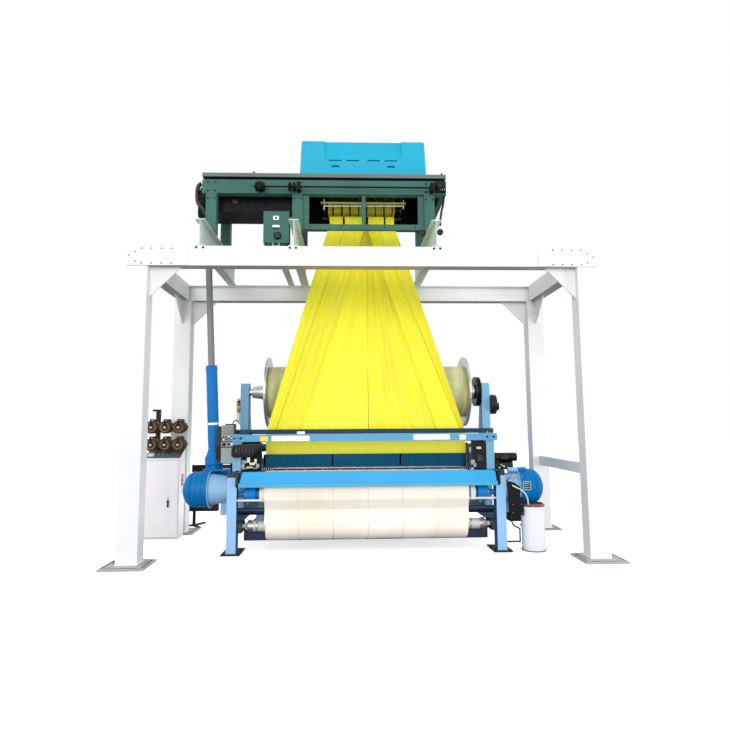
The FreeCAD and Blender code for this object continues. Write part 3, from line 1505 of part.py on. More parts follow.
def make_bin():
    profile = [(0, 0), (bin_r * 0.94, 0), (bin_r, bin_height - 14), (bin_r + bin_rim - 4, bin_height - 14),
               (bin_r + bin_rim - 4, bin_height), (bin_r - bin_wall, bin_height),
               (bin_r * 0.94 - bin_wall, bin_wall), (0, bin_wall)]
    save("waste_bin", faceted(profile, bin_sides, bin_x, bin_y, 0.0))


def make_selvedge_yarn():
    """Strands cut from the cloth's edge, led over the right-hand drive into the bin."""
    drum_top = housing_z + strand_rise
    drum_front = housing_y - housing_r - strand_lift
    bin_inner = bin_x - bin_r + bin_wall + strand_run
    places = [
        (loom_right, strand_y, drum_top),
        (loom_right + strand_start, strand_y, drum_top),
        (loom_right + housing_length * 0.32, drum_front + 30, housing_z + 15),
        (loom_right + housing_length * 0.57, drum_front, housing_z - 19),
        (loom_right + housing_length * 0.75, drum_front + 4, housing_z - 77),
        (bin_inner - 17, drum_front + 26, bin_height + 64),
        (bin_inner - 4, bin_y - 72, bin_height - 30),
        (bin_inner - 9, bin_y - 48, bin_height * 0.53),
        (bin_inner - 10, bin_y - 26, bin_wall + selvedge_r),
    ]
    yarn = faceted_tube([V(*place) for place in places], selvedge_r, 8)
    save("selvedge_yarn", yarn)


make_gantry()
make_head_frame()
make_hood()
make_case()
make_griffe("griffe_lower", griffe_low)
make_griffe("griffe_upper", griffe_high)
make_head_drive()
make_control_box()
make_harness()
save("left_side_frame", make_side(True))
save("right_side_frame", make_side(False))
make_legs()
make_cross_members()
make_cover()
make_rails()
make_uprights()
make_sley()
make_takeup()
make_cloth_roll()
make_cloth()
make_warp_beams()
make_warps()
make_housing("left_drive_housing", True)
make_housing("right_drive_housing", False)
make_jacquard_drive()
make_side_units()
make_drive_motor()
make_lamp()
make_yarn_stands()
make_feeder_discs()
make_cabinet()
make_bin()
make_selvedge_yarn()
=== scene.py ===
# A jacquard power loom for towelling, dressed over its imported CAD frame.
import bpy
import json
import math
import random
from mathutils import Matrix, Vector


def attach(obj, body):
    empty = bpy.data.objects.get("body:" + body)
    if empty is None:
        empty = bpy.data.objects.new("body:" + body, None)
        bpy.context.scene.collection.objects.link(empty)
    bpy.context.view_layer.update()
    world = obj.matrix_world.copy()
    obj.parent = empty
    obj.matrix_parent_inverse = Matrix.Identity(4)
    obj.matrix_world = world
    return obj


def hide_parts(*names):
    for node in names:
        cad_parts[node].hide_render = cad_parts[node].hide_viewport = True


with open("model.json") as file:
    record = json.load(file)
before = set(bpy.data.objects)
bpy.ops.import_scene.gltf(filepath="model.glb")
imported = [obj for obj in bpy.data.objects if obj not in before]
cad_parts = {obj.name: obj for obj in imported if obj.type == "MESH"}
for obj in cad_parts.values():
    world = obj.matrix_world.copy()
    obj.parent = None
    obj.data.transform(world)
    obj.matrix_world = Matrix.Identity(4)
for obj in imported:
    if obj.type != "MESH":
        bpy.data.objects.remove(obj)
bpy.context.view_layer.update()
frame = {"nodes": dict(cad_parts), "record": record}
nodes = frame["nodes"]
scene = bpy.context.scene
mm = 0.001


def say(stage):
    print("stage:", stage)


def srgb(r, g, b):
    def linear(c):
        c = c / 255
        return c / 12.92 if c <= 0.04045 else ((c + 0.055) / 1.055) ** 2.4
    return (linear(r), linear(g), linear(b), 1.0)


# the camera: its axes and place come from the gantry's edges, in metres
viewpoint = {
    "right": (0.999372, -0.034897, -0.006153),
    "up": (0.002461, -0.104860, 0.994484),
    "back": (-0.035350, -0.993874, -0.104708),
    "place": (-0.1565, -6.9859, 1.4077),
    "sensor": 36,
    "lens": 27.10,
    "reach": 60,
}
cam = bpy.data.cameras.new("Camera")
cam.sensor_width = viewpoint["sensor"]
cam.lens = viewpoint["lens"]
cam.clip_end = viewpoint["reach"]
camera = bpy.data.objects.new("Camera", cam)
scene.collection.objects.link(camera)
turn = Matrix([viewpoint[axis] for axis in ("right", "up", "back")]).transposed().to_4x4()
camera.matrix_world = Matrix.Translation(viewpoint["place"]) @ turn
scene.camera = camera
scene.view_settings.view_transform = "Standard"


class Graph:
    # one node tree, with nodes made by kind and sockets that add and multiply
    def __init__(self, tree):
        self.tree = tree

    def node(self, kind, out=0, inputs=None, **settings):
        made = self.tree.nodes.new(kind)
        for key, value in settings.items():
            setattr(made, key, value)
        for key, value in (inputs or {}).items():
            self.feed(made.inputs[key], value)
        return Sock(self, made.outputs[out]) if made.outputs else made

    def feed(self, socket, value):
        if isinstance(value, Sock):
            self.tree.links.new(value.socket, socket)
        else:
            socket.default_value = value

    def parts(self, vector):
        # the x, y and z of a vector
        split = self.tree.nodes.new("ShaderNodeSeparateXYZ")
        self.feed(split.inputs[0], vector)
        return [Sock(self, output) for output in split.outputs]

    def maths(self, operation, a, b=0.0):
        return self.node("ShaderNodeMath", inputs={0: a, 1: b}, operation=operation)

    def blend(self, factor, a, b):
        # the sockets 0, 6 and 7 of a colour mix are its factor and its two colours
        made = self.tree.nodes.new("ShaderNodeMix")
        made.data_type = "RGBA"
        self.feed(made.inputs[0], factor)
        self.feed(made.inputs[6], a)
        self.feed(made.inputs[7], b)
        return Sock(self, made.outputs[2])


class Sock:
    # one socket's value, for use in sums and products
    def __init__(self, graph, socket):
        self.graph = graph
        self.socket = socket

    def __add__(self, other):
        return self.graph.maths("ADD", self, other)

    def __radd__(self, other):
        return self.graph.maths("ADD", other, self)

    def __sub__(self, other):
        return self.graph.maths("SUBTRACT", self, other)

    def __rsub__(self, other):
        return self.graph.maths("SUBTRACT", other, self)

    def __mul__(self, other):
        return self.graph.maths("MULTIPLY", self, other)

    def __rmul__(self, other):
        return self.graph.maths("MULTIPLY", other, self)

    def over(self, edge, soft):
        return self.span(edge - soft, edge + soft)

    def span(self, low, high, to0=0.0, to1=1.0):
        made = self.graph.tree.nodes.new("ShaderNodeMapRange")
        made.interpolation_type = "SMOOTHSTEP"
        for key, value in (("Value", self), ("From Min", low), ("From Max", high),
                           ("To Min", to0), ("To Max", to1)):
            self.graph.feed(made.inputs[key], value)
        return Sock(self.graph, made.outputs[0])

    def clamp(self):
        return self.graph.node("ShaderNodeClamp", inputs={0: self})

    def sine(self):
        return self.graph.maths("SINE", self)


class Finish(Graph):
    # a material on Object coordinates, which are the row frame's metres
    def __init__(self):
        self.material = bpy.data.materials.new("Finish")
        self.material.use_nodes = True
        super().__init__(self.material.node_tree)
        self.tree.nodes.clear()
        self.output = self.tree.nodes.new("ShaderNodeOutputMaterial")
        self.place = self.node("ShaderNodeTexCoord", out="Object")
        self.x, self.y, self.z = self.parts(self.place)

    def stretched(self, sx, sy, sz):
        made = self.tree.nodes.new("ShaderNodeMapping")
        self.feed(made.inputs[0], self.place)
        made.inputs["Scale"].default_value = (sx, sy, sz)
        return Sock(self, made.outputs[0])

    def noise(self, scale, detail=3.0, rough=0.55, at=None):
        return self.node("ShaderNodeTexNoise", inputs={
            "Vector": at or self.place, "Scale": scale, "Detail": detail, "Roughness": rough})

    def cells(self, scale):
        return self.node("ShaderNodeTexVoronoi", out="Distance", inputs={
            "Vector": self.place, "Scale": scale})

    def between(self, place, low, high):
        # 1 where place, in metres, lies between low and high
        edge = 0.0004
        return place.over(low, edge) * (1.0 - place.over(high, edge))

    def bump(self, height, distance, strength):
        return self.node("ShaderNodeBump", inputs={
            "Height": height, "Distance": distance, "Strength": strength})

    def shade(self, color, rough, metal, normal, **extra):
        made = self.tree.nodes.new("ShaderNodeBsdfPrincipled")
        self.feed(made.inputs["Base Color"], color)
        self.feed(made.inputs["Roughness"], rough)
        self.feed(made.inputs["Metallic"], metal)
        self.feed(made.inputs["Normal"], normal)
        for key, value in extra.items():
            self.feed(made.inputs[key.replace("_", " ")], value)
        self.tree.links.new(made.outputs[0], self.output.inputs[0])
        return self.material


sky = {
    "color": (0.97, 0.98, 1.0, 1),
    "fade": (-0.3, 0.15),   # heights of the direction between the dim and the bright part
    "strength": (0.3, 0.9),
    "backdrop": (1, 1, 1, 1),
}
floorLook = {
    "half": 30,
    "height": -0.002,
    "color": (0.9, 0.9, 0.9, 1),
    "glow": 0.62,
    "bounce": (0.22, 0.22, 0.25, 1),
}
sunLight = {"power": 1.2, "angle": 35, "toward": (0.16, 1.0, -0.26)}
# place, target, size and power of each lamp; the camera sees none of them
lamps = {
    "LowFront": ((0.5, -8.5, 0.7), (0, 0, 0.9), (5, 1), 88),
    "TopSoft": ((0, -1.0, 8.5), (0, 0, 2), (8, 6), 60),
    "RightFill": ((7.5, -3.0, 2.0), (-2.0, 0, 1.2), (3, 4), 260),
    "CabinetFill": ((-1.56, 0.3, 0.5), (-2.4, 0.25, 0.5), (0.7, 0.8), 6),
    "LeftFill": ((-7.5, -3.0, 2.0), (2.0, 0, 1.6), (3, 4), 110),
}


def makeWorld():
    # the camera sees a plain backdrop; the machine is lit by a sky that is dimmer below
    world = bpy.data.worlds.new("World")
    scene.world = world
    world.use_nodes = True
    graph = Graph(world.node_tree)
    graph.tree.nodes.clear()
    output = graph.tree.nodes.new("ShaderNodeOutputWorld")
    seen = graph.node("ShaderNodeLightPath", out="Is Camera Ray")
    direction = graph.node("ShaderNodeTexCoord", out="Generated")
    strength = graph.parts(direction)[2].span(*sky["fade"], *sky["strength"])
    soft = graph.node("ShaderNodeBackground", inputs={"Color": sky["color"], "Strength": strength})
    plain = graph.node("ShaderNodeBackground", inputs={"Color": sky["backdrop"], "Strength": 1.0})
    mixed = graph.node("ShaderNodeMixShader", inputs={0: seen, 1: soft, 2: plain})
    graph.feed(output.inputs[0], mixed)


def makeLight(name, place, target, size, power):
    lamp = bpy.data.lights.new(name, "AREA")
    lamp.shape = "RECTANGLE"
    lamp.size, lamp.size_y = size
    lamp.energy = power
    obj = bpy.data.objects.new(name, lamp)
    obj.location = place
    obj.rotation_euler = (Vector(target) - Vector(place)).to_track_quat("-Z", "Y").to_euler()
    scene.collection.objects.link(obj)


def makeSun():
    sun = bpy.data.lights.new("KeySoft", "SUN")
    sun.energy = sunLight["power"]
    sun.angle = math.radians(sunLight["angle"])
    obj = bpy.data.objects.new("KeySoft", sun)
    obj.rotation_euler = Vector(sunLight["toward"]).to_track_quat("-Z", "Y").to_euler()
    scene.collection.objects.link(obj)


def makeFloor():
    # pale where the camera looks, dim for the light that it throws back
    mesh = bpy.data.meshes.new("Floor")
    half, height = floorLook["half"], floorLook["height"]
    corners = ((-half, -half), (half, -half), (half, half), (-half, half))
    mesh.from_pydata([corner + (height,) for corner in corners], [], [(0, 1, 2, 3)])
    floor = bpy.data.objects.new("Floor", mesh)
    scene.collection.objects.link(floor)
    material = bpy.data.materials.new("FloorPale")
    material.use_nodes = True
    graph = Graph(material.node_tree)
    graph.tree.nodes.clear()
    output = graph.tree.nodes.new("ShaderNodeOutputMaterial")
    seen = graph.node("ShaderNodeLightPath", out="Is Camera Ray")
    matt = graph.node("ShaderNodeBsdfDiffuse", inputs={"Color": floorLook["color"]})
    dim = graph.node("ShaderNodeBsdfDiffuse", inputs={"Color": floorLook["bounce"]})
    glow = graph.node("ShaderNodeEmission", inputs={"Color": (1, 1, 1, 1), "Strength": floorLook["glow"]})
    lit = graph.node("ShaderNodeAddShader", inputs={0: matt, 1: glow})
    mixed = graph.node("ShaderNodeMixShader", inputs={0: seen, 1: dim, 2: lit})
    graph.feed(output.inputs[0], mixed)
    mesh.materials.append(material)


makeWorld()
makeFloor()
makeSun()
for name, values in lamps.items():
    makeLight(name, *values)
say("camera and light")


def toned(color, factor):
    # a colour made darker or paler
    return tuple(min(1, c * factor) for c in color[:3]) + (1,)


roofSlope = 0.4783      # rise of the cabinet's roof towards its back


def paint(color, rough, mottle, dust, dustColor=(150, 146, 138), coat=0.0, shine=0.4, other=None, where=()):
    # mottled paint with dust in its runs and near the floor; other is its colour inside where, a
    #  list of (axis, low, high) limits in metres, and for some finishes that colour is painted shade
    f = Finish()
    base = srgb(*color)
    broad = f.noise(1.6, 4.0)
    fine = f.noise(34.0, 4.0, 0.6)
    runs = f.noise(9.0, 3.0, at=f.stretched(1, 1, 0.12))
    tone = f.blend(broad.span(0.32, 0.68), toned(base, 1 - mottle * 2), toned(base, 1 + mottle))
    for axis, low, high in where:
        at = {"x": f.x, "y": f.y, "z": f.z, "roof": f.z - f.y * roofSlope}[axis]
        tone = f.blend(f.between(at, low, high), tone, srgb(*other))
    settled = (runs.span(0.52, 0.78) * fine.span(0.35, 0.7)) * dust
    low = f.z.span(0.35, 0.0) * fine.span(0.3, 0.65) * dust
    tone = f.blend((settled + low).clamp(), tone, srgb(*dustColor))
    skin = f.noise(420.0, 2.0)
    normal = f.bump(skin * 0.6 + f.noise(7.0, 2.0) * 2.0, 0.0008, 0.5)
    gloss = fine.span(0.2, 0.8, rough - 0.05, rough + 0.10) + settled * 0.4
    return f.shade(tone, gloss, 0.0, normal, Coat_Weight=coat, Coat_Roughness=0.18,
                   Specular_IOR_Level=shine)


def casting(color, rough, grain=0.0008):
    # painted cast iron with a sandy skin
    f = Finish()
    base = srgb(*color)
    sand = f.noise(160.0, 4.0, 0.65)
    broad = f.noise(3.0, 4.0)
    tone = f.blend(broad.span(0.3, 0.7), toned(base, 0.7), base)
    tone = f.blend(f.noise(22.0, 5.0).span(0.58, 0.8) * 0.3, tone, srgb(128, 126, 122))
    normal = f.bump(sand + f.cells(90.0) * 0.4, grain, 0.7)
    return f.shade(tone, sand.span(0.2, 0.8, rough - 0.08, rough + 0.12), 0.15, normal)


def steel(color, rough, along=(3, 260, 260), metal=0.9, oil=0.15, other=None, where=()):
    # drawn steel, its lines across the axis with the low stretch; other is its colour where x lies
    # between the limits in where
    f = Finish()
    base = srgb(*color)
    lines = f.noise(4.0, 4.0, 0.7, at=f.stretched(*along))
    spots = f.noise(11.0, 4.0)
    tone = f.blend(lines.span(0.3, 0.7), toned(base, 0.82), base)
    tone = f.blend(spots.span(0.55, 0.8) * oil, tone, srgb(92, 84, 66))
    for low, high in where:
        tone = f.blend(f.between(f.x, low, high), tone, srgb(*other))
    normal = f.bump(lines, 0.00025, 0.6)
    return f.shade(tone, lines.span(0.2, 0.8, rough - 0.08, rough + 0.14), metal, normal)


def plastic(color, rough, grain=0.0001, mottle=0.04, coat=0.15, scale=260.0, shine=0.4):
    # moulded plastic with a fine leather grain and rubbed places
    f = Finish()
    base = srgb(*color)
    leather = f.cells(scale)
    broad = f.noise(4.0, 3.0)
    tone = f.blend(broad.span(0.3, 0.7), toned(base, 1 - mottle * 2), base)
    scuff = f.noise(26.0, 5.0, 0.7, at=f.stretched(1, 1, 0.3)).span(0.62, 0.85)
    normal = f.bump(leather + f.noise(520.0, 2.0) * 0.5, grain, 0.6)
    return f.shade(tone, scuff * 0.2 + rough, 0.0, normal, Coat_Weight=coat, Specular_IOR_Level=shine)


def rubber(color, rough):
    # cable sheath with a little dust
    f = Finish()
    base = srgb(*color)
    dust = f.noise(14.0, 4.0).span(0.5, 0.8) * 0.25
    tone = f.blend(dust, base, srgb(150, 148, 142))
    normal = f.bump(f.noise(300.0, 3.0), 0.0003, 0.7)
    return f.shade(tone, f.noise(30.0).span(0.3, 0.7, rough - 0.1, rough + 0.12), 0.0, normal)


towel = {"rows": 1400.0, "seamAt": 0.090, "seamPitch": 0.384}


def terry():
    # cream loops in close rows, with weft ridges across the cloth and seams between the towels
    f = Finish()
    rows = (f.z * towel["rows"]).sine() * 0.5 + 0.5
    loops = f.cells(330.0)
    knots = f.noise(150.0, 4.0, 0.7)
    fold = f.noise(1.4, 3.0, at=f.stretched(1.6, 0.5, 0.5))
    body = f.blend(fold.span(0.35, 0.7), srgb(246, 238, 220), srgb(253, 247, 234))
    body = f.blend(loops.span(0.25, 0.8) * 0.35, body, srgb(232, 221, 196))
    body = f.blend(knots.span(0.55, 0.8) * 0.22, body, srgb(255, 252, 243))
    wave = (f.x - towel["seamAt"]) * (2 * math.pi / towel["seamPitch"]) + math.pi / 2
    seam = wave.sine().span(0.99965, 0.99995)
    body = f.blend(seam * 0.55, body, srgb(150, 132, 112))
    normal = f.bump(rows * 0.25 + loops + knots * 0.6 - seam * 2.0, 0.0016, 0.75)
    return f.shade(body, 0.92, 0.0, normal, Sheen_Weight=0.35, Sheen_Roughness=0.5)


def cordYellow(top, low, deep, scale=150.0):
    # bundles of cords; u runs across them and v from their upper to their lower end
    f = Finish()
    u, v, _ = f.parts(f.node("ShaderNodeTexCoord", out="UV"))
    joined = f.tree.nodes.new("ShaderNodeCombineXYZ")
    f.feed(joined.inputs[0], u)
    f.feed(joined.inputs[1], v * 0.02)
    flat = Sock(f, joined.outputs[0])
    strands = f.noise(scale, 4.0, 0.65, at=flat)
    fine = f.noise(scale * 4.0, 2.0, 0.6, at=flat)
    patch = f.noise(1.1, 3.0, 0.5, at=f.stretched(1.0, 1.0, 0.5))
    tone = f.blend(v.span(0.05, 0.75), srgb(*top), srgb(*low))
    tone = f.blend(patch.span(0.4, 0.62) * 0.35, tone, srgb(*top))
    tone = f.blend(strands.span(0.42, 0.72) * 0.5, tone, srgb(*deep))
    tone = f.blend(fine.span(0.45, 0.7) * 0.3, tone, srgb(255, 250, 170))
    normal = f.bump(strands + fine * 0.5, 0.004, 0.6)
    return f.shade(tone, 0.6, 0.0, normal, Sheen_Weight=0.15)


def yarnWound(color, dark):
    # yarn wound side by side along x, with fuzz and paler bands
    f = Finish()
    turnsPerMetre = 900
    line = (f.x * (turnsPerMetre * 2 * math.pi)).sine() * 0.5 + 0.5
    fuzz = f.noise(70.0, 4.0, 0.7, at=f.stretched(5, 1, 1))
    band = f.noise(5.0, 3.0, at=f.stretched(1.5, 0.3, 0.3))
    tone = f.blend(band.span(0.35, 0.7), srgb(*dark), srgb(*color))
    tone = f.blend(fuzz.span(0.5, 0.8) * 0.35, tone, srgb(248, 246, 236))
    normal = f.bump(line + fuzz, 0.0012, 0.6)
    return f.shade(tone, 0.85, 0.0, normal, Sheen_Weight=0.3)


mats = {
    "gantry_paint": paint((232, 233, 233), 0.42, 0.015, 0.08, (190, 188, 182), coat=0.1,
                          other=(168, 162, 164), where=[("z", 3.0613, 3.0627), ("z", -0.01, 0.0206)]),
    "green_paint": paint((62, 108, 98), 0.5, 0.06, 0.08, (120, 140, 132), shine=0.2),
    # the near-black band from 4.2 to 4.2435 m high is painted shadow under the platform's lip
    "platform_paint": paint((106, 122, 116), 0.55, 0.05, 0.1, shine=0.2,
                            other=(20, 24, 24), where=[("z", 4.2, 4.2435)]),
    "hood_blue": plastic((22, 172, 205), 0.4, 0.00005, 0.03, 0.0, 700.0, 0.2),
    "dark_case": paint((13, 15, 15), 0.5, 0.06, 0.06, (48, 48, 46), shine=0.15),
    "griffe_metal": steel((150, 150, 90), 0.4),
    "bright_steel": steel((196, 198, 198), 0.28),
    "dial_red": plastic((92, 14, 22), 0.4),
    "harness_yellow": cordYellow((252, 246, 0), (255, 250, 40), (232, 216, 0)),
    "harness_deep": cordYellow((246, 240, 0), (252, 244, 30), (214, 198, 0), 110.0),
    "harness_low": cordYellow((255, 250, 0), (255, 252, 60), (250, 238, 0), 90.0),
    "harness_dark": plastic((120, 100, 8), 0.7),
    # a duller, olive copy of the harness cords' yellow: painted shade on the hook cords under the head
    "hook_olive": plastic((232, 220, 66), 0.5),
    "heddle_steel": steel((150, 152, 150), 0.4, (300, 300, 4)),
    "spring_steel": steel((120, 122, 124), 0.4, (300, 300, 90)),
    "board_dark": plastic((48, 44, 40), 0.55),
    # the darker blue on the thin x bands is painted shade on the legs' inner side faces
    "loom_blue": paint((150, 196, 236), 0.34, 0.03, 0.10, coat=0.1,
                       other=(30, 88, 136), where=[("x", -1.3456, -1.34), ("x", 1.50, 1.5056)]),
    "base_black": casting((34, 38, 44), 0.5),
    "casting_blue": casting((18, 46, 76), 0.45),
    "upright_blue": paint((112, 170, 204), 0.4, 0.05, 0.06, (170, 176, 178)),
    "cover_blue": paint((50, 165, 222), 0.3, 0.03, 0.03, (150, 180, 200), shine=0.25),
    "cover_low": paint((72, 168, 208), 0.34, 0.03, 0.03, (150, 180, 200), shine=0.25),
    "front_rail": paint((90, 158, 196), 0.4, 0.03, 0.05, (150, 180, 200), shine=0.2),
    "rail_dark": paint((24, 62, 86), 0.5, 0.06, 0.03, (70, 90, 90), shine=0.15),
    "reed_teal": paint((0, 76, 110), 0.5, 0.04, 0.02, (20, 80, 104), shine=0.08),
    "roller_blue": paint((8, 122, 198), 0.5, 0.04, 0.02, (70, 130, 180), shine=0.2),
    "towel_cloth": terry(),
    "beam_metal": steel((212, 214, 212), 0.3, (160, 8, 8), 0.85, 0.1,
                        (20, 22, 24), [(1.59, 1.68)]),
    "yarn_white": yarnWound((226, 226, 180), (176, 178, 122)),
    "drive_blue": paint((0, 112, 178), 0.34, 0.04, 0.02, (30, 120, 180), shine=0.16,
                        other=(140, 180, 216), where=[("x", -1.6605, -1.2), ("x", 1.3, 1.7695)]),
    "tube_blue": paint((0, 112, 184), 0.34, 0.04, 0.02, (30, 120, 180), shine=0.16),
    "cone_blue": paint((140, 180, 216), 0.4, 0.03, 0.05),
    "divider_brown": plastic((96, 40, 30), 0.5),
    "hole_dark": plastic((16, 18, 20), 0.7),
    "yarn_cream": paint((232, 226, 208), 0.8, 0.03, 0.05),
    "yarn_orange": yarnWound((150, 96, 40), (70, 44, 22)),
    "motor_black": casting((11, 12, 14), 0.42, 0.0005),
    "lamp_plastic": plastic((206, 120, 40), 0.2),
    "stand_black": paint((20, 17, 16), 0.42, 0.08, 0.06, (60, 56, 52), shine=0.2),
    "feeder_orange": plastic((92, 56, 28), 0.35),
    "cabinet_grey": paint((240, 236, 236), 0.42, 0.02, 0.06, (196, 192, 188),
                          other=(104, 110, 118), where=[("roof", 0.9745, 2.0)]),
    "latch_black": plastic((24, 24, 27), 0.4),
    "bin_white": plastic((240, 243, 247), 0.34, 0.00008, 0.02),
    "shaft_grey": steel((128, 130, 132), 0.5, (200, 200, 3), 0.2),
    "wedge_grey": paint((205, 222, 214), 0.5, 0.05, 0.06, (150, 160, 150), shine=0.2),
    "bolt_dark": steel((44, 46, 48), 0.4, (80, 80, 80), 0.6),
    "bolt_zinc": steel((190, 192, 190), 0.35, (80, 80, 80), 0.8),
    "knob_black": plastic((8, 9, 10), 0.45, shine=0.2),
    "cable_black": rubber((16, 17, 18), 0.5),
    "plate_white": paint((238, 240, 240), 0.3, 0.01, 0.05, coat=0.1),
    "plate_yellow": paint((244, 206, 30), 0.3, 0.01, 0.05, coat=0.1),
    "band_white": plastic((226, 228, 214), 0.4),
    "feeder_gold": plastic((214, 160, 70), 0.3),
    "liner_brown": plastic((120, 76, 66), 0.5),
    "console_grey": paint((104, 110, 118), 0.4, 0.03, 0.05),
    "terminal_grey": paint((150, 164, 160), 0.45, 0.04, 0.06),
    "cable_grey": rubber((120, 124, 126), 0.5),
    "shaft_pale": steel((216, 214, 206), 0.5, (3, 200, 200), 0.15, 0.05),
    "thread_white": paint((240, 240, 232), 0.8, 0.02, 0.02),
    "lamp_red": plastic((190, 40, 30), 0.2),
    "lamp_amber": plastic((226, 150, 40), 0.2),
    "lamp_green": plastic((60, 150, 80), 0.2),
    "screen_grey": plastic((92, 104, 108), 0.15),
}
for slotName, material in mats.items():
    material.name = slotName.title().replace("_", "")


def dress(node, slotName, bevel):
    # a CAD node keeps its shape: its seams are joined, its edges softened, its finish set
    obj = nodes[node]
    obj.data.materials.clear()
    obj.data.materials.append(mats[slotName])
    weld = obj.modifiers.new("Weld", "WELD")
    weld.merge_threshold = 0.00002
    if bevel:
        soft = obj.modifiers.new("Bevel", "BEVEL")
        soft.width = bevel
        soft.segments = 2
        soft.limit_method = "ANGLE"
        soft.angle_limit = math.radians(28)
        soft.harden_normals = False


# width of the softened edges of CAD nodes, in metres; the others keep sharp edges
edgeWidths = {
    0.006: ["front_left_post", "front_right_post", "rear_left_post", "rear_right_post", "left_side_frame",
            "right_side_frame", "loom_legs", "loom_uprights"],
    0.005: ["front_beam", "side_beams"],
    0.004: ["control_box", "sley", "side_units"],
    0.003: ["head_frame", "head_platform", "head_drive_boxes", "comber_board", "cross_members"],
    0.002: ["rear_beam", "corner_gussets", "cross_beams", "foot_plates", "front_rail", "cabinet_latch"],
    0.0015: ["yarn_stands"],
    0.001: ["breast_cover", "upper_rail"],
}
edgeWidth = {node: width for width, group in edgeWidths.items() for node in group}
# CAD nodes whose look differs from their slot in the record
finishes = {"loom_uprights": "upright_blue", "head_shaft": "dark_case", "reed": "reed_teal",
            "cardan_shaft": "shaft_grey", "cross_beams": "wedge_grey",
            "front_rail": "front_rail", "cloth_roll_shaft": "shaft_pale",
            "control_dial": "knob_black"}
for part in frame["record"]["subparts"]:
    finish = finishes.get(part["node"], part["material_slot"])
    dress(part["node"], finish, edgeWidth.get(part["node"], 0.0))
say("materials")


def ringPoints(centre, side, over, radius, sides, count):
    # the first count points of a ring with that many sides, square to side and over
    angles = [2 * math.pi * k / sides for k in range(count)]
    return [centre + radius * (math.cos(t) * side + math.sin(t) * over) for t in angles]


def around(count, radius, y, z, first=0.0):
    # even places on a circle that faces along x; first is the first one's angle in degrees
    for i in range(count):
        t = math.radians(first) + 2 * math.pi * i / count
        yield y + radius * math.cos(t), z + radius * math.sin(t)


def lerp(a, b, t):
    return a + (b - a) * t


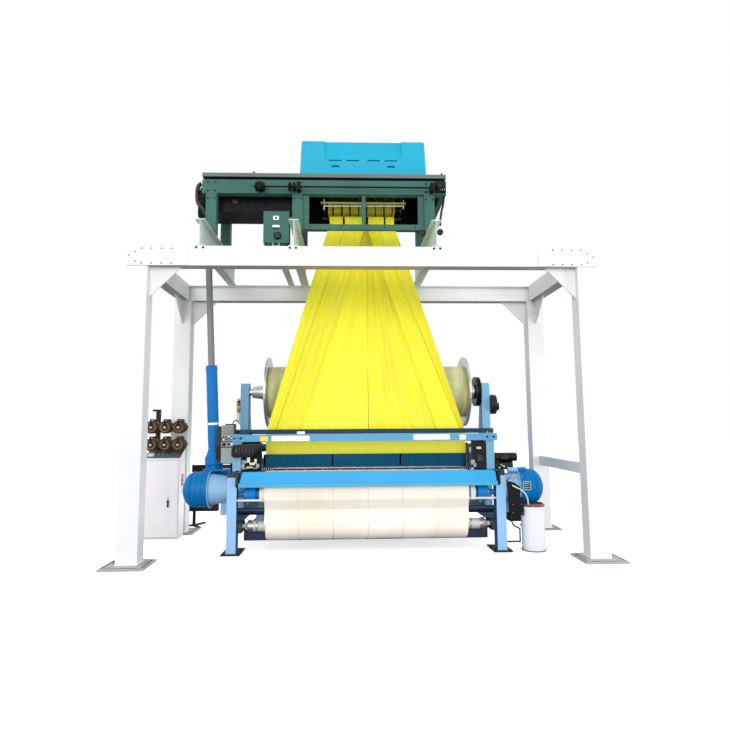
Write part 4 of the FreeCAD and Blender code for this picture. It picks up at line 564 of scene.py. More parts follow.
class Shape:
    # faces gathered in millimetres, each with its own finish, and made into one piece
    def __init__(self):
        self.points, self.faces, self.finish, self.uv = [], [], [], {}

    def face(self, corners, finish=0):
        self.faces.append(tuple(corners))
        self.finish.append(finish)

    def add(self, points):
        first = len(self.points)
        self.points.extend(tuple(p) for p in points)
        return first

    def box(self, x0, x1, y0, y1, z0, z1, finish=0):
        # the six faces, each counterclockwise from outside
        n = self.add([(x, y, z) for z in (z0, z1) for y in (y0, y1) for x in (x0, x1)])
        for f in ((0, 2, 3, 1), (4, 5, 7, 6), (0, 1, 5, 4), (2, 6, 7, 3), (0, 4, 6, 2), (1, 3, 7, 5)):
            self.face([n + i for i in f], finish)

    def prism(self, outline, axis, low, high, finish=0):
        # outline runs counterclockwise in (y, z), (x, z) or (x, y)
        def at(a, b, c):
            return {"x": (c, a, b), "y": (a, c, b), "z": (a, b, c)}[axis]
        count = len(outline)
        n = self.add([at(a, b, low) for a, b in outline] + [at(a, b, high) for a, b in outline])
        self.face([n + i for i in reversed(range(count))], finish)
        self.face([n + count + i for i in range(count)], finish)
        for i in range(count):
            j = (i + 1) % count
            self.face([n + i, n + j, n + count + j, n + count + i], finish)

    def turned(self, profile, place, axis="z", sides=32, finish=0):
        # profile holds (height, radius) along the axis; an axis in capitals points the other way
        x, y, z = place
        sign = -1 if axis.isupper() else 1
        rings = []
        for h, r in profile:
            ring = []
            for i in range(sides if r > 0 else 1):
                t = 2 * math.pi * i / sides
                c, s = r * math.cos(t), r * math.sin(t)
                ring.append({"z": (x + c, y + s, z + sign * h), "x": (x + sign * h, y + c, z + s),
                             "y": (x + s, y + sign * h, z + c)}[axis.lower()])
            rings.append([self.add([p]) for p in ring])
        for a, b in zip(rings, rings[1:]):
            for i in range(max(len(a), len(b))):
                j = (i + 1) % sides
                if len(a) == 1:
                    corners = [a[0], b[j], b[i]]
                elif len(b) == 1:
                    corners = [a[i], a[j], b[0]]
                else:
                    corners = [a[i], a[j], b[j], b[i]]
                self.face(corners, finish)

    def stud(self, place, axis, radius, high, sides=6, finish=0):
        # a short bar with one closed end
        self.turned([(0, radius), (high, radius), (high, 0)], place, axis, sides, finish)

    def tube(self, path, radius, sides=10, finish=0):
        # a round bar along a path
        path = [Vector(p) for p in path]
        side = (path[1] - path[0]).orthogonal().normalized()
        rings = []
        for i, p in enumerate(path):
            ahead = (path[min(i + 1, len(path) - 1)] - path[max(i - 1, 0)]).normalized()
            side = (side - ahead * side.dot(ahead)).normalized()
            over = ahead.cross(side)
            rings.append(self.add(ringPoints(p, side, over, radius, sides, sides)))
        for a, b in zip(rings, rings[1:]):
            for k in range(sides):
                j = (k + 1) % sides
                self.face([a + k, a + j, b + j, b + k], finish)
        self.face([rings[0] + k for k in reversed(range(sides))], finish)
        self.face([rings[-1] + k for k in range(sides)], finish)

    def grid(self, rows, finish=0, uvs=None):
        # rows of equally many points, joined into a surface
        n = self.add([p for row in rows for p in row])
        wide = len(rows[0])
        for r in range(len(rows) - 1):
            for c in range(wide - 1):
                i = n + r * wide + c
                self.face([i, i + 1, i + wide + 1, i + wide], finish)
        if uvs:
            for i, uv in enumerate(u for row in uvs for u in row):
                self.uv[n + i] = uv

    def make(self, name, slots, body="frame", angle=35, bevel=0.0, replaces=()):
        # edges sharper than angle, in degrees, stay sharp; bevel is in millimetres
        slots = [slots] if isinstance(slots, str) else slots
        mesh = bpy.data.meshes.new(name)
        mesh.from_pydata([tuple(c * mm for c in p) for p in self.points], [], self.faces)
        for slotName in slots:
            mesh.materials.append(mats[slotName])
        mesh.polygons.foreach_set("material_index", self.finish)
        if self.uv:
            layer = mesh.uv_layers.new(name="UVMap")
            for loop in mesh.loops:
                layer.data[loop.index].uv = self.uv.get(loop.vertex_index, (0.0, 0.0))
        mesh.shade_smooth()
        mesh.set_sharp_from_angle(angle=math.radians(angle))
        obj = bpy.data.objects.new(name, mesh)
        scene.collection.objects.link(obj)
        if bevel:
            soft = obj.modifiers.new("Bevel", "BEVEL")
            soft.width, soft.segments = bevel * mm, 2
            soft.limit_method, soft.angle_limit = "ANGLE", math.radians(40)
        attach(obj, body)
        if replaces:
            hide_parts(*replaces)
        return obj


def repeat(name, shape, spots, slotName, body="frame"):
    # copies of one shape at spots (x, y, z, turn about x, y, z in degrees, size), by geometry nodes
    spots = [tuple(spot) + (0, 0, 0, 1)[len(spot) - 3:] for spot in spots]
    source = bpy.data.meshes.new(name + "One")
    source.from_pydata([tuple(c * mm for c in p) for p in shape.points], [], shape.faces)
    source.shade_smooth()
    source.set_sharp_from_angle(angle=math.radians(35))
    one = bpy.data.objects.new(name + "One", source)
    scene.collection.objects.link(one)
    cloud = bpy.data.meshes.new(name + "Spots")
    cloud.from_pydata([tuple(c * mm for c in spot[:3]) for spot in spots], [], [])
    cloud.attributes.new("turn", "FLOAT_VECTOR", "POINT")
    cloud.attributes.new("size", "FLOAT", "POINT")
    turns = [math.radians(v) for spot in spots for v in spot[3:6]]
    cloud.attributes["turn"].data.foreach_set("vector", turns)
    cloud.attributes["size"].data.foreach_set("value", [spot[6] for spot in spots])
    holder = bpy.data.objects.new(name + "Spots", cloud)
    scene.collection.objects.link(holder)
    group = bpy.data.node_groups.new(name + "Repeat", "GeometryNodeTree")
    for title, way, kind in (("Spots", "INPUT", "Geometry"), ("Shape", "INPUT", "Object"),
                             ("Finish", "INPUT", "Material"), ("Copies", "OUTPUT", "Geometry")):
        group.interface.new_socket(title, in_out=way, socket_type="NodeSocket" + kind)
    graph = Graph(group)
    entry = group.nodes.new("NodeGroupInput")
    info = graph.node("GeometryNodeObjectInfo", out="Geometry", inputs={
        "Object": Sock(graph, entry.outputs["Shape"])})
    turn = graph.node("GeometryNodeInputNamedAttribute", inputs={"Name": "turn"}, data_type="FLOAT_VECTOR")
    size = graph.node("GeometryNodeInputNamedAttribute", inputs={"Name": "size"}, data_type="FLOAT")
    made = graph.node("GeometryNodeInstanceOnPoints", inputs={
        "Points": Sock(graph, entry.outputs["Spots"]), "Instance": info,
        "Rotation": graph.node("FunctionNodeEulerToRotation", inputs={0: turn}), "Scale": size})
    real = graph.node("GeometryNodeRealizeInstances", inputs={0: made})
    done = graph.node("GeometryNodeSetMaterial", inputs={
        "Geometry": real, "Material": Sock(graph, entry.outputs["Finish"])})
    leave = group.nodes.new("NodeGroupOutput")
    graph.feed(leave.inputs[0], done)
    worker = holder.modifiers.new("Repeat", "NODES")
    worker.node_group = group
    for item in group.interface.items_tree:
        if item.name == "Shape":
            worker[item.identifier] = one
        if item.name == "Finish":
            worker[item.identifier] = mats[slotName]
    bpy.context.view_layer.update()
    seen = holder.evaluated_get(bpy.context.evaluated_depsgraph_get())
    mesh = bpy.data.meshes.new_from_object(seen)
    for old in (holder, one):
        bpy.data.objects.remove(old)
    mesh.name = name
    for attribute in ("turn", "size"):
        if attribute in mesh.attributes:
            mesh.attributes.remove(mesh.attributes[attribute])
    obj = bpy.data.objects.new(name, mesh)
    scene.collection.objects.link(obj)
    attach(obj, body)


hexHead = {"washerHigh": 2.8, "washerEdge": 0.8, "chamfer": 1.6, "chamferedTo": 0.86}


def hexBolt(across, high, washer):
    # a hexagon head on its washer, standing along +z
    bolt = Shape()
    top, edge = hexHead["washerHigh"], hexHead["washerEdge"]
    bolt.turned([(0, 0), (0, washer), (top - 0.4, washer), (top, washer - edge), (top, 0)],
                (0, 0, 0), "z", 18)
    r = across / 2 / math.cos(math.pi / 6)
    crown = high + hexHead["chamfer"]
    bolt.turned([(top - 0.2, 0), (top - 0.2, r), (high, r), (crown, r * hexHead["chamferedTo"]), (crown, 0)],
                (0, 0, 0), "z", 6)
    return bolt


def flat(x, y, z, facing="-y", size=1.0):
    # a spot for a repeated shape whose +z is turned to the way it faces
    turn = {"-y": (90, 0, 0), "+y": (-90, 0, 0), "-x": (0, -90, 0), "+x": (0, 90, 0), "+z": (0, 0, 0)}[facing]
    return (x, y, z) + turn + (size,)


def splineLine(name, route):
    # the points of a smooth line led by the route, whose places are in millimetres
    curve = bpy.data.curves.new(name, "CURVE")
    curve.dimensions = "3D"
    curve.resolution_u = 16
    line = curve.splines.new("NURBS")
    line.points.add(len(route) - 1)
    for point, place in zip(line.points, route):
        point.co = [c * mm for c in place] + [1.0]
    line.order_u = 3
    line.use_endpoint_u = True
    holder = bpy.data.objects.new(name, curve)
    scene.collection.objects.link(holder)
    bpy.context.view_layer.update()
    mesh = bpy.data.meshes.new_from_object(holder.evaluated_get(bpy.context.evaluated_depsgraph_get()))
    points = [v.co.copy() for v in mesh.vertices]
    bpy.data.objects.remove(holder)
    return points


def cableRun(shape, route, radius, sides=8, finish=0):
    # a cable led smoothly past the route's points
    shape.tube([p * 1000 for p in splineLine("CableLine", route)], radius, sides, finish)


say("building blocks")

# the harness: cords of the fan and the neck, then heddles, eyes and springs under the board
harness = {
    "y": -400.0,
    "fanTop": 3822.0,
    "fanBottom": 1336.0,
    "fanRows": 16,
    "halfDepth": (36, 16),      # of the fan, at its top and its bottom
    "innerCords": 60,
    "neckTop": 3934,
    "neckBlocks": ((-348, -186), (-162, 62), (126, 320), (340, 446)),
    "ridge": 3.2,
}
# ends at the top and the bottom, how far the bundle stands forward, and its count of cords
bundles = [
    ((-354, -152), (-1084, -977), 8.0, 70), ((-148, 96), (-973, -686), 10.0, 110),
    ((40, 98), (-708, 111), 0.0, 200), ((98, 152), (117, 944), 0.0, 200),
    ((100, 235), (926, 1198), 10.0, 100), ((239, 446), (1202, 1260), 8.0, 60),
]
curtainSize = {"x": (-1092, 1268), "depth": 24, "cords": 472}
# rows, ridge, first seed, and top and bottom of the cords, the heddles and the springs
curtainParts = [(2, 3.0, 7, (1300, 1046)), (2, 2.4, 17, (1044, 962)), (4, 3.4, 27, (960, 422))]
eyes = {"count": 189, "pitch": 12.4, "first": -1084, "z": 1005, "stagger": 9, "forward": 27,
        "half": (3.4, 2.5, 13)}
harnessY, fanTop, fanBottom = harness["y"], harness["fanTop"], harness["fanBottom"]


def cordSheet(shape, top, bottom, depth, count, rows, ridge, spread, seed, uRange, z, finish=0):
    # cords side by side from the line top (x0, x1) to the line bottom, each one a ridge
    rng = random.Random(seed)
    sway = [rng.uniform(-1, 1) for _ in range(count)]
    lift = [rng.uniform(0.3, 1.0) for _ in range(count)]
    grid, uvs = [], []
    for r in range(rows + 1):
        t = r / rows
        x0, x1 = lerp(top[0], bottom[0], t), lerp(top[1], bottom[1], t)
        y = lerp(depth[0], depth[1], t)
        facing = 1 if y < harnessY else -1
        step = (x1 - x0) / count
        line, lineUv = [], []
        for i in range(count):
            wave = math.sin(t * math.pi) * sway[i] * spread
            crest = y - facing * ridge * lift[i] * (0.6 + 0.4 * math.sin(9 * t + i))
            line += [(x0 + step * i, y, lerp(*z, t)),
                     (x0 + step * (i + 0.5) + wave * step, crest, lerp(*z, t))]
            u = lerp(uRange[0], uRange[1], i / count)
            lineUv += [(u, t), (u + 0.5 * (uRange[1] - uRange[0]) / count, t)]
        line.append((x1, y, lerp(*z, t)))
        lineUv.append((uRange[1], t))
        grid.append(line[::-1] if facing > 0 else line)
        uvs.append(lineUv[::-1] if facing > 0 else lineUv)
    shape.grid(grid, finish, uvs)


fan = Shape()
for side in (1, -1):
    for number, (top, bottom, forward, count) in enumerate(bundles):
        depth = [harnessY - side * (out + forward) for out in harness["halfDepth"]]
        cordSheet(fan, top, bottom, depth, count, harness["fanRows"], harness["ridge"], 0.35,
                  40 + number * 3 + side, (number * 0.17, number * 0.17 + 0.165), (fanTop, fanBottom),
                  number % 2)
fan.box(-356, 448, harnessY - 34, harnessY + 34, fanTop - 8, fanTop, 2)
fan.box(-1082, 1258, harnessY - 14, harnessY + 14, fanBottom, fanBottom + 14, 2)
for i in range(harness["innerCords"]):
    # cords that show through the gaps between the bundles
    t = i / (harness["innerCords"] - 1)
    depth = (i % 5 - 2) * 9
    fan.tube([(lerp(-348, 440, t), harnessY + depth, fanTop - 4),
              (lerp(-1078, 1254, t), harnessY + depth * 0.5, fanBottom + 4)], 4.5, 4, 1)
fan.make("HarnessFan", ["harness_yellow", "harness_deep", "harness_dark"], angle=70,
         replaces=["harness_cords"])

neck = Shape()
for number, (x0, x1) in enumerate(harness["neckBlocks"]):
    for side in (1, -1):
        cordSheet(neck, (x0, x1), (x0 + 2, x1 - 2), (harnessY - side * 44, harnessY - side * 42), 48, 3,
                  3.0, 0.3, 90 + number + side, (number * 0.25, number * 0.25 + 0.24),
                  (harness["neckTop"], fanTop - 6))
    neck.box(x0, x1, harnessY - 40, harnessY + 40, harness["neckTop"] - 8, harness["neckTop"], 1)
    for row in range(5):
        y = harnessY - 36 + row * 18
        neck.box(x0 + 4, x1 - 4, y - 2, y + 2, fanTop - 4, harness["neckTop"] + 2)
neck.make("HarnessNeck", ["harness_yellow", "harness_dark"], angle=70)

curtain = Shape()
for side in (1, -1):
    depth = [harnessY - side * curtainSize["depth"]] * 2
    for finish, (rows, ridge, seed, z) in enumerate(curtainParts):
        cordSheet(curtain, curtainSize["x"], curtainSize["x"], depth, curtainSize["cords"], rows, ridge,
                  0.25, seed + side, (0, 1), z, finish)
(left, right), inside = curtainSize["x"], curtainSize["depth"] - 2
curtain.box(left + 2, right - 2, harnessY - inside, harnessY + inside, 424, 1298, 3)
curtain.make("HeddleCurtain", ["harness_low", "heddle_steel", "spring_steel", "harness_dark"], angle=70,
             replaces=["harness_curtain"])

eyelet = Shape()
wide, deep, high = eyes["half"]
eyelet.box(-wide, wide, -deep, deep, -high, high)
repeat("HeddleEyes", eyelet,
       [(eyes["first"] + i * eyes["pitch"], harnessY + side * eyes["forward"],
         eyes["z"] + (i % 2) * eyes["stagger"]) for i in range(eyes["count"]) for side in (1, -1)],
       "bright_steel")
say("harness")

# the cloth: the sheet down the front, the wound roll and the yarn on the beams
cloth = {
    "left": -1047.0,
    "right": 1203.0,
    "towels": 6,
    "loops": 1.5,
    "columns": 300,
    "step": 12,
}
clothLeft, clothRight = cloth["left"], cloth["right"]
rollSize = {"y": -690.0, "z": 276.0, "radius": 150.0, "left": -1032.0, "right": 1188.0, "sides": 96}
rollY, rollZ, rollR = rollSize["y"], rollSize["z"], rollSize["radius"]


def seamDip(x):
    # 1 on the flat strip that parts two towels, 0 in the loops beside it
    wide = (clothRight - clothLeft) / cloth["towels"]
    away = abs((x - clothLeft + wide / 2) % wide - wide / 2)
    return max(0.0, 1 - max(0.0, away - 4) / 8)


def tangentPoint(y, z, cy, cz, r, turn):
    # where a line from (y, z) touches the circle round (cy, cz), on the side that turn picks
    away = math.hypot(y - cy, z - cz)
    angle = math.atan2(z - cz, y - cy) + turn * math.acos(r / away)
    return cy + r * math.cos(angle), cz + r * math.sin(angle)


def walk(path, step):
    # points at even steps along a path of (y, z), each with the way across it
    made = []
    for a, b in zip(path, path[1:]):
        a, b = Vector(a), Vector(b)
        count = max(1, round((b - a).length / step))
        across = Vector((-(b - a).y, (b - a).x)).normalized()
        made += [(a.lerp(b, i / count), across) for i in range(count)]
    made.append((Vector(path[-1]), across))
    return made


def wovenSheet(path, columns, step, lift):
    # a sheet with both faces and rims, lifted off its middle surface by lift(x, s, side)
    shape = Shape()
    line = walk(path, step)
    for side in (1, -1):
        rows, uvs = [], []
        for number, (point, across) in enumerate(line):
            s = number / (len(line) - 1)
            row, uvRow = [], []
            for c in range(columns + 1):
                x = lerp(clothLeft, clothRight, c / columns)
                y, z = point + across * lift(x, s, side)
                row.append((x, y, z))
                uvRow.append((c / columns, s))
            rows.append(row if side > 0 else row[::-1])
            uvs.append(uvRow if side > 0 else uvRow[::-1])
        shape.grid(rows, 0, uvs)
    wide = columns + 1
    count = len(line) * wide
    last = (len(line) - 1) * wide
    for c in range(columns):
        for first in (0, last):
            corners = [first + c, first + c + 1, count + first + columns - c - 1, count + first + columns - c]
            shape.face(corners if first else corners[::-1])
    for r in range(len(line) - 1):
        for c, other in ((0, columns), (columns, 0)):
            a, b = r * wide + c, (r + 1) * wide + c
            d, e = count + (r + 1) * wide + other, count + r * wide + other
            shape.face([e, d, b, a] if c else [a, b, d, e])
    return shape


# (y, z) from the breast beam over the guide rod and under the press rod to the roll
pressRod = (-796.5, 462)
clothPath = [(-700, 881.5), (-838, 881.5), (-846, 880.5), (-850, 877.5), (-851.5, 872), (-851.5, 574),
             pressRod, tangentPoint(*pressRod, rollY, rollZ, rollR + 3.5, 1)]


def clothLift(x, s, side):
    # loops on both faces, flat at the seams, with slack ripples between breast beam and guide rod
    loops = cloth["loops"] * (1 - 0.75 * seamDip(x))
    fixed = math.sin(math.pi * min(1, max(0, (s - 0.3) / 0.5)))
    ripple = fixed * (0.8 * math.sin(x * 0.021 + 1.3) + 0.5 * math.sin(x * 0.057 + s * 5))
    return side * loops + ripple * 0.9


sheet = wovenSheet(clothPath, cloth["columns"], cloth["step"], clothLift).make(
    "ClothSheet", "towel_cloth", angle=60, replaces=["cloth_sheet"])

roll = Shape()
rollLeft, rollRight, sides, columns = rollSize["left"], rollSize["right"], rollSize["sides"], cloth["columns"]
rows, uvs = [], []
for c in range(columns + 1):
    x = lerp(rollLeft, rollRight, c / columns)
    edge = min(1, min(x - rollLeft, rollRight - x) / 6)
    row, uvRow = [], []
    for k in range(sides + 1):
        t = 2 * math.pi * k / sides
        r = rollR - 6 + 5 * math.sqrt(edge) - 5.5 * seamDip(x) + 1.6 * math.sin(x * 0.009 + 2)
        r += 1.1 * math.sin(3 * t + x * 0.013) + 0.6 * math.sin(x * 0.16 + 2 * t)
        row.append((x, rollY + r * math.cos(t), rollZ + r * math.sin(t)))
        uvRow.append((c / columns, k / sides))
    rows.append(row)
    uvs.append(uvRow)
roll.grid([list(row) for row in zip(*rows)][::-1], 0, [list(row) for row in zip(*uvs)][::-1])
for x, out in ((rollLeft, -1), (rollRight, 1)):
    # the turns of cloth show as rings at each end
    profile = [(0, rollR - 6)]
    for layer in range(22):
        r = lerp(rollR - 8, 60, layer / 21)
        height = out * (2.2 if layer % 2 else -0.4)
        profile += [(height, r), (height, r - 1.5)]
    roll.turned(profile, (x, rollY, rollZ), "x", sides)
roll.make("ClothRoll", "towel_cloth", "cloth_roll", 50, replaces=["cloth_roll"])


# ends in x and axis of the yarn on each beam, with its inner and its outer radius
pileBeam = {"x": (-1169, 1434), "y": 500, "z": 1826, "inner": 176, "radius": 350}
groundBeam = {"x": (-1188, 1348), "y": 950, "z": 560, "inner": 300, "radius": 327}


def winding(name, beam, body, replaces=()):
    # yarn wound side by side on a beam, a little uneven from one end to the other
    shape = Shape()
    rng = random.Random(len(name))
    (x0, x1), inner, radius = beam["x"], beam["inner"], beam["radius"]
    turns = 150
    profile = [(x0, inner), (x0, radius - 8)]
    for i in range(turns):
        x = lerp(x0 + 4, x1 - 4, i / (turns - 1))
        bow = 3.0 * math.sin(x * 0.004 + 1) + 1.8 * math.sin(x * 0.019)
        edge = 8 * math.exp(-min(x - x0, x1 - x) / 30)
        profile += [(x, radius - 4 + bow * 0.5 - edge + rng.uniform(-0.8, 0.8)),
                    (x + (x1 - x0) / turns * 0.45, radius - 5.5 + bow * 0.5 - edge)]
    profile += [(x1, radius - 8), (x1, inner)]
    shape.turned(profile, (0, beam["y"], beam["z"]), "x", 72)
    shape.make(name, "yarn_white", body, 50, replaces=replaces)


winding("PileYarn", pileBeam, "pile_beam", ["pile_yarn"])
winding("GroundYarn", groundBeam, "ground_beam")
say("cloth and windings")

# the warp sheets from the two beams to the heddles
warp = {
    "threads": 750,
    "step": 90,
    "gap": 4.0,         # from a roller's face to the middle of the sheet
    "heddleY": -370.0,
    "level": 60,        # length of the level stretch before the heddles
    "pileBar": (100, 1200, 30),      # y, z and radius of the tension bar
    "backRest": (1060, 1060, 55),
}
barY, barZ, barR = warp["pileBar"]
restY, restZ, restR = warp["backRest"]
pileTop = (barY - barR - warp["gap"], barZ)
pilePath = [tangentPoint(*pileTop, pileBeam["y"], pileBeam["z"], pileBeam["radius"] + warp["gap"], -1),
            pileTop, (warp["heddleY"] + warp["level"], 1019), (warp["heddleY"], 1019)]
bendR = (restR + warp["gap"]) / math.cos(math.radians(15))
bend = [(restY + bendR * math.cos(math.radians(a)), restZ + bendR * math.sin(math.radians(a)))
        for a in (0, 30, 60, 90)]
groundPath = [tangentPoint(*bend[0], groundBeam["y"], groundBeam["z"], groundBeam["radius"], -1)] + bend
groundPath += [(warp["heddleY"] + warp["level"], 1005), (warp["heddleY"], 1005)]


def warpLift(x, s, side):
    # threads lie side by side; every second column of the sheet is the dip between two
    thread = round((x - clothLeft) / (clothRight - clothLeft) * warp["threads"]) % 2
    return side * (0.4 + 1.3 * thread)


for name, path, replaced in (("PileWarp", pilePath, ["warp_sheets"]), ("GroundWarp", groundPath, ())):
    sheet = wovenSheet(path, warp["threads"], warp["step"], warpLift).make(
        name, "yarn_white", angle=70, replaces=replaced)
say("warps")

# the gantry: bolts on its splice plates, and weld beads round the posts' feet and heads
gantry = {
    "face": -1300,
    "splices": ((-2133, -1), (2226, 1)),      # middle in x, and the way out
    "spliceRows": (3083, 3243),
    "bracketBolts": ((222, 3207), (222, 3105), (288, 3168)),
    "crossBeamBolts": (-1726, -1655, -744, -679, 792, 859),
    "posts": ((-2445, -1300), (-2445, 340), (2335, -1300), (2335, 340)),
    "postSize": (220, 180),
}
face = gantry["face"]
spots = []
for middle, out in gantry["splices"]:
    spots += [flat(middle + out * (155 - i * 103), face, z, size=0.85)
              for i in range(4) for z in gantry["spliceRows"]]
    spots += [flat(middle + out * along, face, z, size=0.85) for along, z in gantry["bracketBolts"]]
spots += [flat(x, face, 3258, size=0.8) for x in gantry["crossBeamBolts"]]
repeat("GantryBolts", hexBolt(20, 11, 16), spots, "bolt_dark")

welds = Shape()
rng = random.Random(4)


def weldBead(shape, start, end, radius=5.0):
    # a bead laid in short ripples
    a, b = Vector(start), Vector(end)
    count = max(3, round((b - a).length / 9))
    side = (b - a).orthogonal().normalized()
    over = (b - a).normalized().cross(side)
    rings = []
    for i in range(count + 1):
        r = radius * (0.82 + 0.18 * (i % 2)) + rng.uniform(-0.3, 0.3)
        rings.append(ringPoints(a.lerp(b, i / count), side, over, r, 6, 7))
    shape.grid(rings)


for x, y in gantry["posts"]:
    wide, deep = gantry["postSize"]
    corners = [(x, y), (x + wide, y), (x + wide, y + deep), (x, y + deep), (x, y)]
    for a, b in zip(corners, corners[1:]):
        weldBead(welds, a + (21,), b + (21,))
        weldBead(welds, a + (3061,), b + (3061,), 3.5)
welds.make("GantryWelds", "gantry_paint", angle=80)
say("gantry")

# the jacquard head: hooks' cords and rods, then ribs, knobs, cables, plates and bolts
hooks = {
    "rows": 3,
    "firstY": -452,
    "pitch": 62,
    "bundles": ((-368, -316), (-297, -211), (-188, -108), (-86, 0), (20, 58), (118, 208), (226, 314),
                (336, 416), (433, 456)),
    "low": 3976,
    "high": 4070,
    "tips": 4190,
}
blocks = Shape()
for row in range(hooks["rows"]):
    y = hooks["firstY"] + row * hooks["pitch"]
    for number, (x0, x1) in enumerate(hooks["bundles"]):
        cordSheet(blocks, (x0, x1), (x0 + 1, x1 - 1), (y, y), max(4, round((x1 - x0) / 6)), 2, 5.0, 0.2,
                  number * 5 + row, (number * 0.11, number * 0.11 + 0.1), (hooks["high"], hooks["low"]))
        blocks.box(x0, x1, y + 1, y + 9, hooks["low"], hooks["high"])
        count = max(3, round((x1 - x0) / 13))
        for i in range(count):
            x = lerp(x0, x1, (i + 0.5) / count)
            blocks.box(x - 4, x + 4, y - 6, y + 10, hooks["high"] - 2, hooks["high"] + 24, 1)
            blocks.box(x - 2, x + 2, y - 1, y + 1, hooks["high"] + 24, hooks["tips"], 2)
blocks.make("HookCords", ["hook_olive", "band_white", "bright_steel"], angle=70)

hookRods = {
    "y": -718,
    "radius": 5.5,
    "ends": ((-406, 4046, 3956, 3912), (535, 4054, 3962, 3928)),      # x, top, bend and foot
    "clamps": (4040, 4056),
    "railY": -722,
    "rails": (((-395, 4070), (600, 4076), 4.5), ((-395, 4098), (614, 4104), 3.5)),
}
rods = Shape()
y, radius = hookRods["y"], hookRods["radius"]
left, right = hookRods["ends"]
rods.tube([(left[0], y, left[1]), (left[0], y, left[2]), (right[0], y, right[2]), (right[0], y, right[1])],
          radius, 8)
for x, top, bend, low in hookRods["ends"]:
    rods.tube([(x, y, bend), (x, y, low)], radius, 8)
for x in (left[0], right[0]):
    rods.box(x - 9, x + 9, y - 9, y + 9, *hookRods["clamps"], 1)
for start, end, radius in hookRods["rails"]:
    rods.tube([(x, hookRods["railY"], z) for x, z in (start, end)], radius, 8)
rods.make("HookRods", ["band_white", "dark_case"])

troughRibs = {
    "first": -1600,
    "pitch": 98,
    "count": 9,
    "wide": 14,
    "y": (-696, -690),
    "z": (3892, 4120),
    "lip": (-1742, -737, -697, -690, 3885, 3899),
    "redPlate": (-1485, -1425, -698, -690, 3990, 4036),
}
trough = Shape()
for i in range(troughRibs["count"]):
    x = troughRibs["first"] + i * troughRibs["pitch"]
    trough.box(x, x + troughRibs["wide"], *troughRibs["y"], *troughRibs["z"])
trough.box(*troughRibs["lip"])
trough.box(*troughRibs["redPlate"], 1)
trough.make("TroughRibs", ["dark_case", "dial_red"], bevel=2)

headKnobs = {
    "beam": ((-622, 3586), (740, 3581), (938, 3594)),
    "beamFace": -850,
    "grips": ((-1213, 4262), (976, 4262)),
    "gripY": -840,
    "box": (888, 1010, -905, -850, 4072, 4192),
    "dial": (948, -905, 4132),
    "keys": 5,
    "keyPitch": 24,
}
extras = Shape()
face, y = headKnobs["beamFace"], headKnobs["gripY"]
for x, z in headKnobs["beam"]:
    extras.turned([(0, 0), (0, 34), (6, 36), (26, 36), (34, 30), (36, 0)], (x, face, z), "Y", 20)
    extras.turned([(0, 15), (50, 15)], (x, face - 2, z), "y", 12, 1)
for x, z in headKnobs["grips"]:
    extras.tube([(x, y, z - 10), (x, y, z + 34)], 5, 8, 1)
    extras.turned([(0, 0), (0, 9), (8, 13), (18, 9), (20, 0)], (x, y, z + 34), "z", 12)
extras.box(*headKnobs["box"])
extras.turned([(0, 0), (0, 46), (20, 46), (24, 40), (24, 0)], headKnobs["dial"], "Y", 24)
for i in range(headKnobs["keys"]):
    x = headKnobs["box"][0] + 4 + i * headKnobs["keyPitch"]
    extras.box(x, x + 10, -915, -903, 4078, 4092, 1)
extras.make("HeadKnobs", ["knob_black", "bolt_zinc"], bevel=1.5)

# points, radius and sides of each cable on the head
headCables = (
    ([(-1822, -800, 4180), (-1846, -800, 4170), (-1866, -800, 4120), (-1868, -800, 4010),
      (-1852, -800, 3930), (-1800, -800, 3890), (-1768, -800, 3830), (-1764, -800, 3800)], 24, 12),
    ([(-1812, -770, 4150), (-1840, -770, 4130), (-1846, -770, 4000), (-1800, -770, 3900),
      (-1762, -780, 3780), (-1762, -790, 3600)], 11, 8),
    ([(998, -780, 4170), (1010, -780, 4090), (1000, -780, 3960), (966, -780, 3850),
      (955, -790, 3700)], 13, 8),
    ([(-836, -800, 3470), (-812, -800, 3420), (-790, -800, 3380), (-770, -900, 3372)], 12, 8),
)
cables = Shape()
for route, radius, sides in headCables:
    cableRun(cables, route, radius, sides)
for z in (4090, 4010, 3950):
    cables.box(-1880, -1815, -812, -788, z, z + 8)
cables.make("HeadCables", "cable_black", angle=60)

controlPlates = {
    "front": -853,
    "back": -849.5,
    "plates": ((-983, -918, 3733, 3780, 0), (-990, -908, 3646, 3672, 0), (-988, -912, 3622, 3638, 1)),
    "screws": ((-977, 3740), (-977, 3773), (-924, 3740), (-924, 3773)),
    "window": (3744, 3769),
    "dial": (-931, -855, 3545),
}
plates = Shape()
front = controlPlates["front"]
for x0, x1, z0, z1, finish in controlPlates["plates"]:
    plates.box(x0, x1, front, controlPlates["back"], z0, z1, finish)
for x, z in controlPlates["screws"]:
    plates.turned([(0, 3), (1.4, 3), (1.8, 0)], (x, front, z), "Y", 8, 2)
plates.box(-962, -939, front - 1, front + 1, *controlPlates["window"], 1)
plates.turned([(0, 46), (3, 46), (5, 43), (5, 38), (2, 36), (2, 0)], controlPlates["dial"], "Y", 32, 3)
plates.make("ControlPlates", ["plate_white", "knob_black", "bolt_zinc", "dark_case"])

headBolts = {
    "legs": (-1695, -707, 824),
    "spread": 40,
    "rows": ((4080, 0.9), (4180, 0.9), (3990, 0.8), (3600, 0.8)),      # z and size
    "beam": (-560, -200, 300, 660),
}
spots = [flat(x + side * headBolts["spread"], -850, z, size=size) for x in headBolts["legs"]
         for side in (-1, 1) for z, size in headBolts["rows"]]
spots += [flat(x, -820, 3666, size=0.7) for x in headBolts["beam"]]
repeat("HeadBolts", hexBolt(18, 9, 14), spots, "bolt_dark")
say("head")

